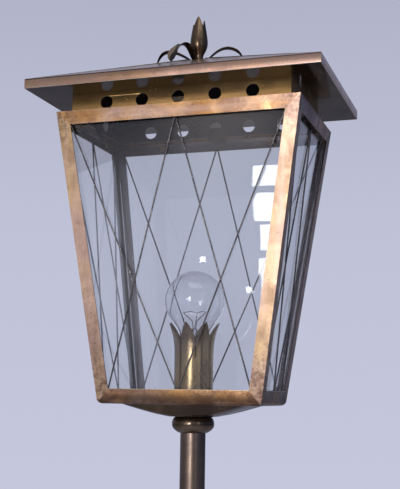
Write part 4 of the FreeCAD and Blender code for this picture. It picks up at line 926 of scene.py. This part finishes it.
# %% [markdown]
# Metal shows what stands around it. A plain studio is enough: a pale backdrop that the camera sees,
# also through the glass, and dimmer surroundings that only the brass and the panes mirror. Both are
# colours of the world, so they need no mesh and never cut into the floor. The surroundings change
# with the heading, darken below the horizon, and have a few soft patches of light and shade.
# %% The backdrop and the surroundings
world = bpy.data.worlds.new("studio")
bpy.context.scene.world = world
world.use_nodes = True
sky = Tree(world.node_tree)
direction = sky.node("ShaderNodeTexCoord").outputs["Generated"]
aim = sky.node("ShaderNodeSeparateXYZ", Vector=direction).outputs
backdrop = sky.ramp(sky.span(aim[2], -0.15, 0.45), (
    (0.0, rgb(198, 200, 221)), (0.5, rgb(192, 195, 215)), (1.0, rgb(172, 175, 195))))
heading_of = sky.math("ARCTAN2", aim[0], sky.math("MULTIPLY", aim[1], -1.0))
around = sky.ramp(sky.span(heading_of, -math.pi, math.pi), (
    (0.0, rgb(160, 164, 186)), (0.12, rgb(150, 154, 176)), (0.27, rgb(112, 114, 124)),
    (0.42, rgb(146, 144, 148)), (0.55, rgb(140, 139, 145)), (0.68, rgb(84, 94, 118)),
    (0.93, rgb(56, 70, 104)), (1.0, rgb(160, 164, 186))))
level = sky.ramp(sky.span(aim[2], -0.22, 0.0), (
    (0.0, (0.26, 0.25, 0.25, 1.0)), (1.0, (1.0, 1.0, 1.0, 1.0))))
around = sky.mix(1.0, around, level, "MULTIPLY")
print("world so far", len(sky.tree.nodes), "nodes")

# %% [markdown]
# A patch lies between two headings and two heights. Its share is the product of four soft borders,
# so its corners come out round, and it is mixed into the surroundings by that share. Colours above 1
# are brighter than white paper, which is what a gleam on brass needs.
# %% Soft patches of light and shade
# For each its left and right heading, its low and high edge and the blur of its borders, all in
# degrees, and then its colour.
PATCHES = (
    (-34, -9, -3.5, 4.5, 3, (0.72, 0.73, 0.8, 1.0)),
    (-31, -22, -6.5, 2, 3, (1.45, 1.45, 1.6, 1.0)),
    (-19, -14, 2, 7, 2.5, (1.15, 1.12, 1.15, 1.0)),
    (-19.5, -13.5, 7, 15, 3, (3.0, 2.6, 2.4, 1.0)),
    (-25, -12, 16, 22, 3, (0.7, 0.66, 0.64, 1.0)),
)


def rise_of(degrees):
    """The z of a direction that points so many degrees above the horizon."""
    return math.sin(math.radians(degrees))


def soft_border(socket, edge, blur, unit):
    """0 on one side of an edge and 1 on the other. A negative blur turns the sides round."""
    return sky.span(socket, unit(edge - blur), unit(edge + blur), curve="SMOOTHSTEP")


for left, right, low, high, blur, colour in PATCHES:
    borders = (soft_border(heading_of, left, blur, math.radians),
               soft_border(heading_of, right, -blur, math.radians),
               soft_border(aim[2], low, blur, rise_of), soft_border(aim[2], high, -blur, rise_of))
    share = borders[0]
    for border in borders[1:]:
        share = sky.math("MULTIPLY", share, border)
    around = sky.mix(share, around, colour)
rays = sky.node("ShaderNodeLightPath").outputs
seen = sky.math("MAXIMUM", rays["Is Camera Ray"], rays["Is Transmission Ray"])
glow = sky.node("ShaderNodeBackground", Color=sky.mix(seen, around, backdrop), Strength=1.0)
sky.node("ShaderNodeOutputWorld", Surface=glow.outputs[0])
print("world", len(sky.tree.nodes), "nodes,", len(PATCHES), "patches")


# %% [markdown]
# Small bright lights draw the lines that a polished pane and a brass edge show. Each lamp is a flat
# soft one that faces the lantern, and its size is given as the headings and heights it fills when
# seen from there, because that is how a reflection is read. One broad lamp overhead lifts the rest.
# %% Lamps
def soft_lamp(name, place, target, width, height, power, colour):
    data = bpy.data.lights.new(name, "AREA")
    data.shape = "RECTANGLE"
    data.size = width
    data.size_y = height
    data.energy = power
    data.color = colour
    lamp = bpy.data.objects.new(name, data)
    lamp.location = place
    lamp.rotation_euler = (Vector(target) - Vector(place)).to_track_quat("-Z", "Y").to_euler()
    bpy.context.scene.collection.objects.link(lamp)


WHITE = (1.0, 1.0, 1.0)
# Just before the front pane, half way up: the lamps aim here.
LANTERN_MIDDLE = (0.0, -0.08, FRAME_BOTTOM + 0.15)


def lamp_between(name, headings, heights, glow, colour=WHITE, away=3.0):
    """A lamp that fills the space between two headings and two heights, seen from the lantern."""
    heading, height = (math.radians((a + b) / 2) for a, b in (headings, heights))
    wide, tall = (2 * away * math.tan(math.radians(abs(b - a) / 2)) for a, b in (headings, heights))
    place = Vector(LANTERN_MIDDLE) + away * Vector(
        (math.sin(heading) * math.cos(height), -math.cos(heading) * math.cos(height), math.sin(height)))
    soft_lamp(name, place, LANTERN_MIDDLE, wide, tall, math.pi * wide * tall * glow, colour)


NEARER = 2.8
lamp_between("tall_window", (-6, 1), (-8, 12), 14.0)
# Five short bars, one above another: the left heading, the low and the high edge of each.
BARS = ((-13.45, 3.39, 4.97), (-13.45, 0.72, 2.87), (-13.2, -1.53, 0.45), (-13.3, -3.4, -2.14),
        (-13.0, -5.4, -3.4))
for count, (left, low, high) in enumerate(BARS):
    lamp_between("window_pane_" + str(count), (left, -10.0), (low, high), 9.0, away=NEARER)
SPOTS = ((-17.36, -2.13), (-14.27, -4.49))
SPOT_HALF = 0.22
for count, (heading, height) in enumerate(SPOTS):
    lamp_between("bare_bulb_" + str(count), (heading - SPOT_HALF, heading + SPOT_HALF),
                 (height - SPOT_HALF, height + SPOT_HALF), 14.0, away=NEARER)
lamp_between("right_window", (44, 56), (-5, 25), 0.7, (0.86, 0.93, 1.0))
soft_lamp("overhead", (0.4, -0.6, 3.4), (0, 0, 0.8), 2.2, 2.2, 30.0, WHITE)
print("lamps", len(bpy.data.lights))

# %% [markdown]
# The lamp stands on a pale, faintly mottled floor. It is staging and not part of the lamp.
# %% Floor
REACH = 6.0
floor_mesh = bpy.data.meshes.new("floor")
floor_mesh.from_pydata([(-REACH, -REACH, 0), (REACH, -REACH, 0), (REACH, REACH, 0), (-REACH, REACH, 0)], [],
                       [(0, 1, 2, 3)])
floor = bpy.data.objects.new("floor", floor_mesh)
bpy.context.scene.collection.objects.link(floor)
floor_paint = Finish("floor_paint")
mottled = floor_paint.mix(floor_paint.noise(3.0, 3.0), rgb(206, 206, 212), rgb(216, 216, 220))
dress(floor, floor_paint.finish(Base_Color=mottled, Roughness=0.7))
print("floor", 2 * REACH, "m wide")
